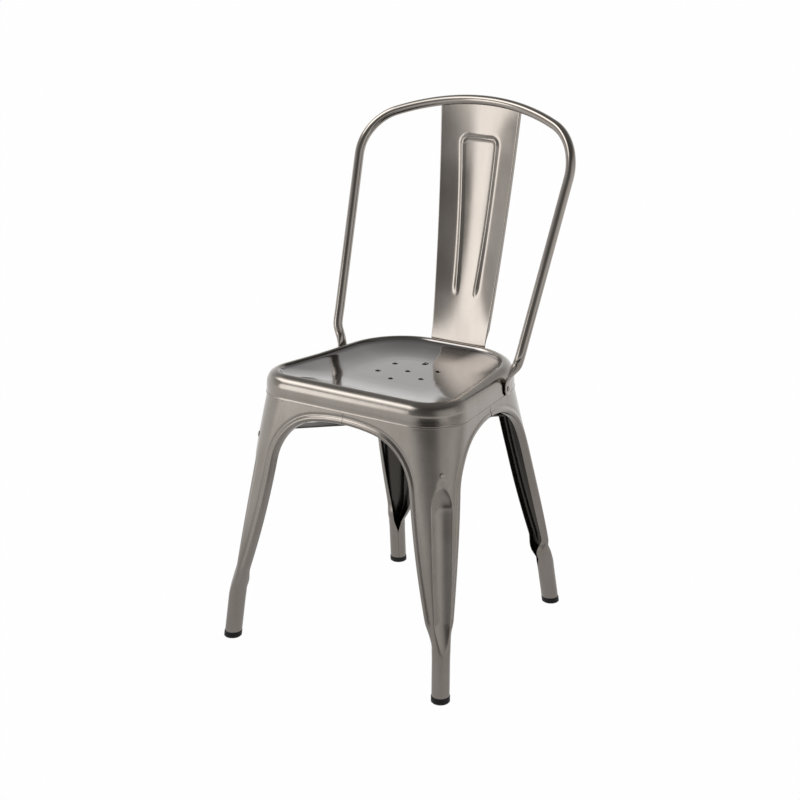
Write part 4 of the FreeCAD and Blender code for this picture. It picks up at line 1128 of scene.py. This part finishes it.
def soft_board(name, corners, place, scale, turn, fade, strongest, shine):
    """A soft-edged board that only reflections see: dark, or bright if it has a shine."""
    mesh = bpy.data.meshes.new(name)
    mesh.from_pydata(corners, [], [(0, 1, 2, 3)])
    board = bpy.data.objects.new(name, mesh)
    board.location = place
    board.scale = scale
    board.rotation_euler = (0, 0, turn)
    bpy.context.scene.collection.objects.link(board)
    board.visible_camera = False
    board.visible_shadow = False
    board.visible_diffuse = False
    material, tree = new_material(name)
    place_in = tree.nodes.new("ShaderNodeTexCoord").outputs["Object"]
    round_in = add_node(tree, "ShaderNodeTexGradient", {"Vector": place_in})
    round_in.gradient_type = "QUADRATIC_SPHERE"
    cover = ranged(tree, round_in.outputs["Fac"], 0.0, fade, 0.0, strongest)
    clear = tree.nodes.new("ShaderNodeBsdfTransparent")
    if shine:
        shown = add_node(tree, "ShaderNodeEmission", {"Strength": shine})
    else:
        shown = tree.nodes["Principled BSDF"]
        set_inputs(tree, shown, {"Base Color": FLAG_COLOUR, "Roughness": 0.9})
    blend(tree, cover, clear.outputs[0], shown.outputs[0])
    mesh.materials.append(material)
    return board


def make_flag(name, place, size, turn, strongest):
    """A dark board flat over the floor."""
    corners = [(x, y, 0) for x, y in SQUARE]
    scale = (size[0] / 2, size[1] / 2, 1)
    flag = soft_board(name, corners, place, scale, turn, FLAG_FADE, strongest, 0.0)


def make_card(name, place, size, turn, level):
    """A bright board that stands on the floor."""
    corners = [(x, 0, z) for x, z in SQUARE]
    scale = (size[0] / 2, 1, size[1] / 2)
    card = soft_board(name, corners, place, scale, turn, CARD_FADE, 1.0, level)


# Build

# Warm steel of the skins, and the cooler one of the polished dish. The pieces' copies of the warm
# steel are made a little lighter or darker as painted light and shade.
WARM = np.array([0.3, 0.277, 0.256])
COOL = np.array([0.3, 0.29, 0.29])
steels = {
    "seat": steel("seat_lacquered_steel", WARM * 0.98, 0.2, wave=0.05),
    "dish": steel("dish_lacquered_steel", COOL, 0.09, wave=0.02, blotch=0.25, streak=0.2),
    "leg": steel("leg_lacquered_steel", WARM * 0.94, 0.22, wave=0.12),
    "splat": steel("splat_lacquered_steel", WARM * 1.08, 0.19, wave=0.05),
    "tube": steel("tube_lacquered_steel", WARM * 1.1, 0.13, wave=0.02, blotch=0.2),
    # Inside of the sheets: the warm steel darkened to a quarter as painted shade, and rougher
    "inside": steel("inside_painted_shade_steel", WARM * 0.24, 0.36),
    # Remaining CAD pieces: the warm steel darkened as painted shade, and rougher
    "dull": steel("dull_painted_shade_steel", WARM * 0.4, 0.4),
    "rivet": steel("rivet_steel", WARM * 1.2, 0.25),
}
black = rubber("foot_rubber")

make_camera()
seat_pan(steels["seat"])
for end in ("front", "rear"):
    for side in ("left", "right"):
        leg_shell(end, side, steels["leg"])
back_hoop(steels["tube"])
back_splat(steels["splat"])

# Caps get rubber, rivets the rivet steel, and the rest the dull steel, darkened as painted shade
for name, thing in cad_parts.items():
    if "cap" in name:
        kept = black
    elif "rivet" in name:
        kept = steels["rivet"]
    else:
        kept = steels["dull"]
    thing.data.materials.clear()
    thing.data.materials.append(kept)

make_floor()
make_world()
for flag in DARK_FLAGS:
    make_flag(*flag)
make_card("left_card", *BRIGHT_CARD)

bpy.context.scene.view_settings.view_transform = "Standard"
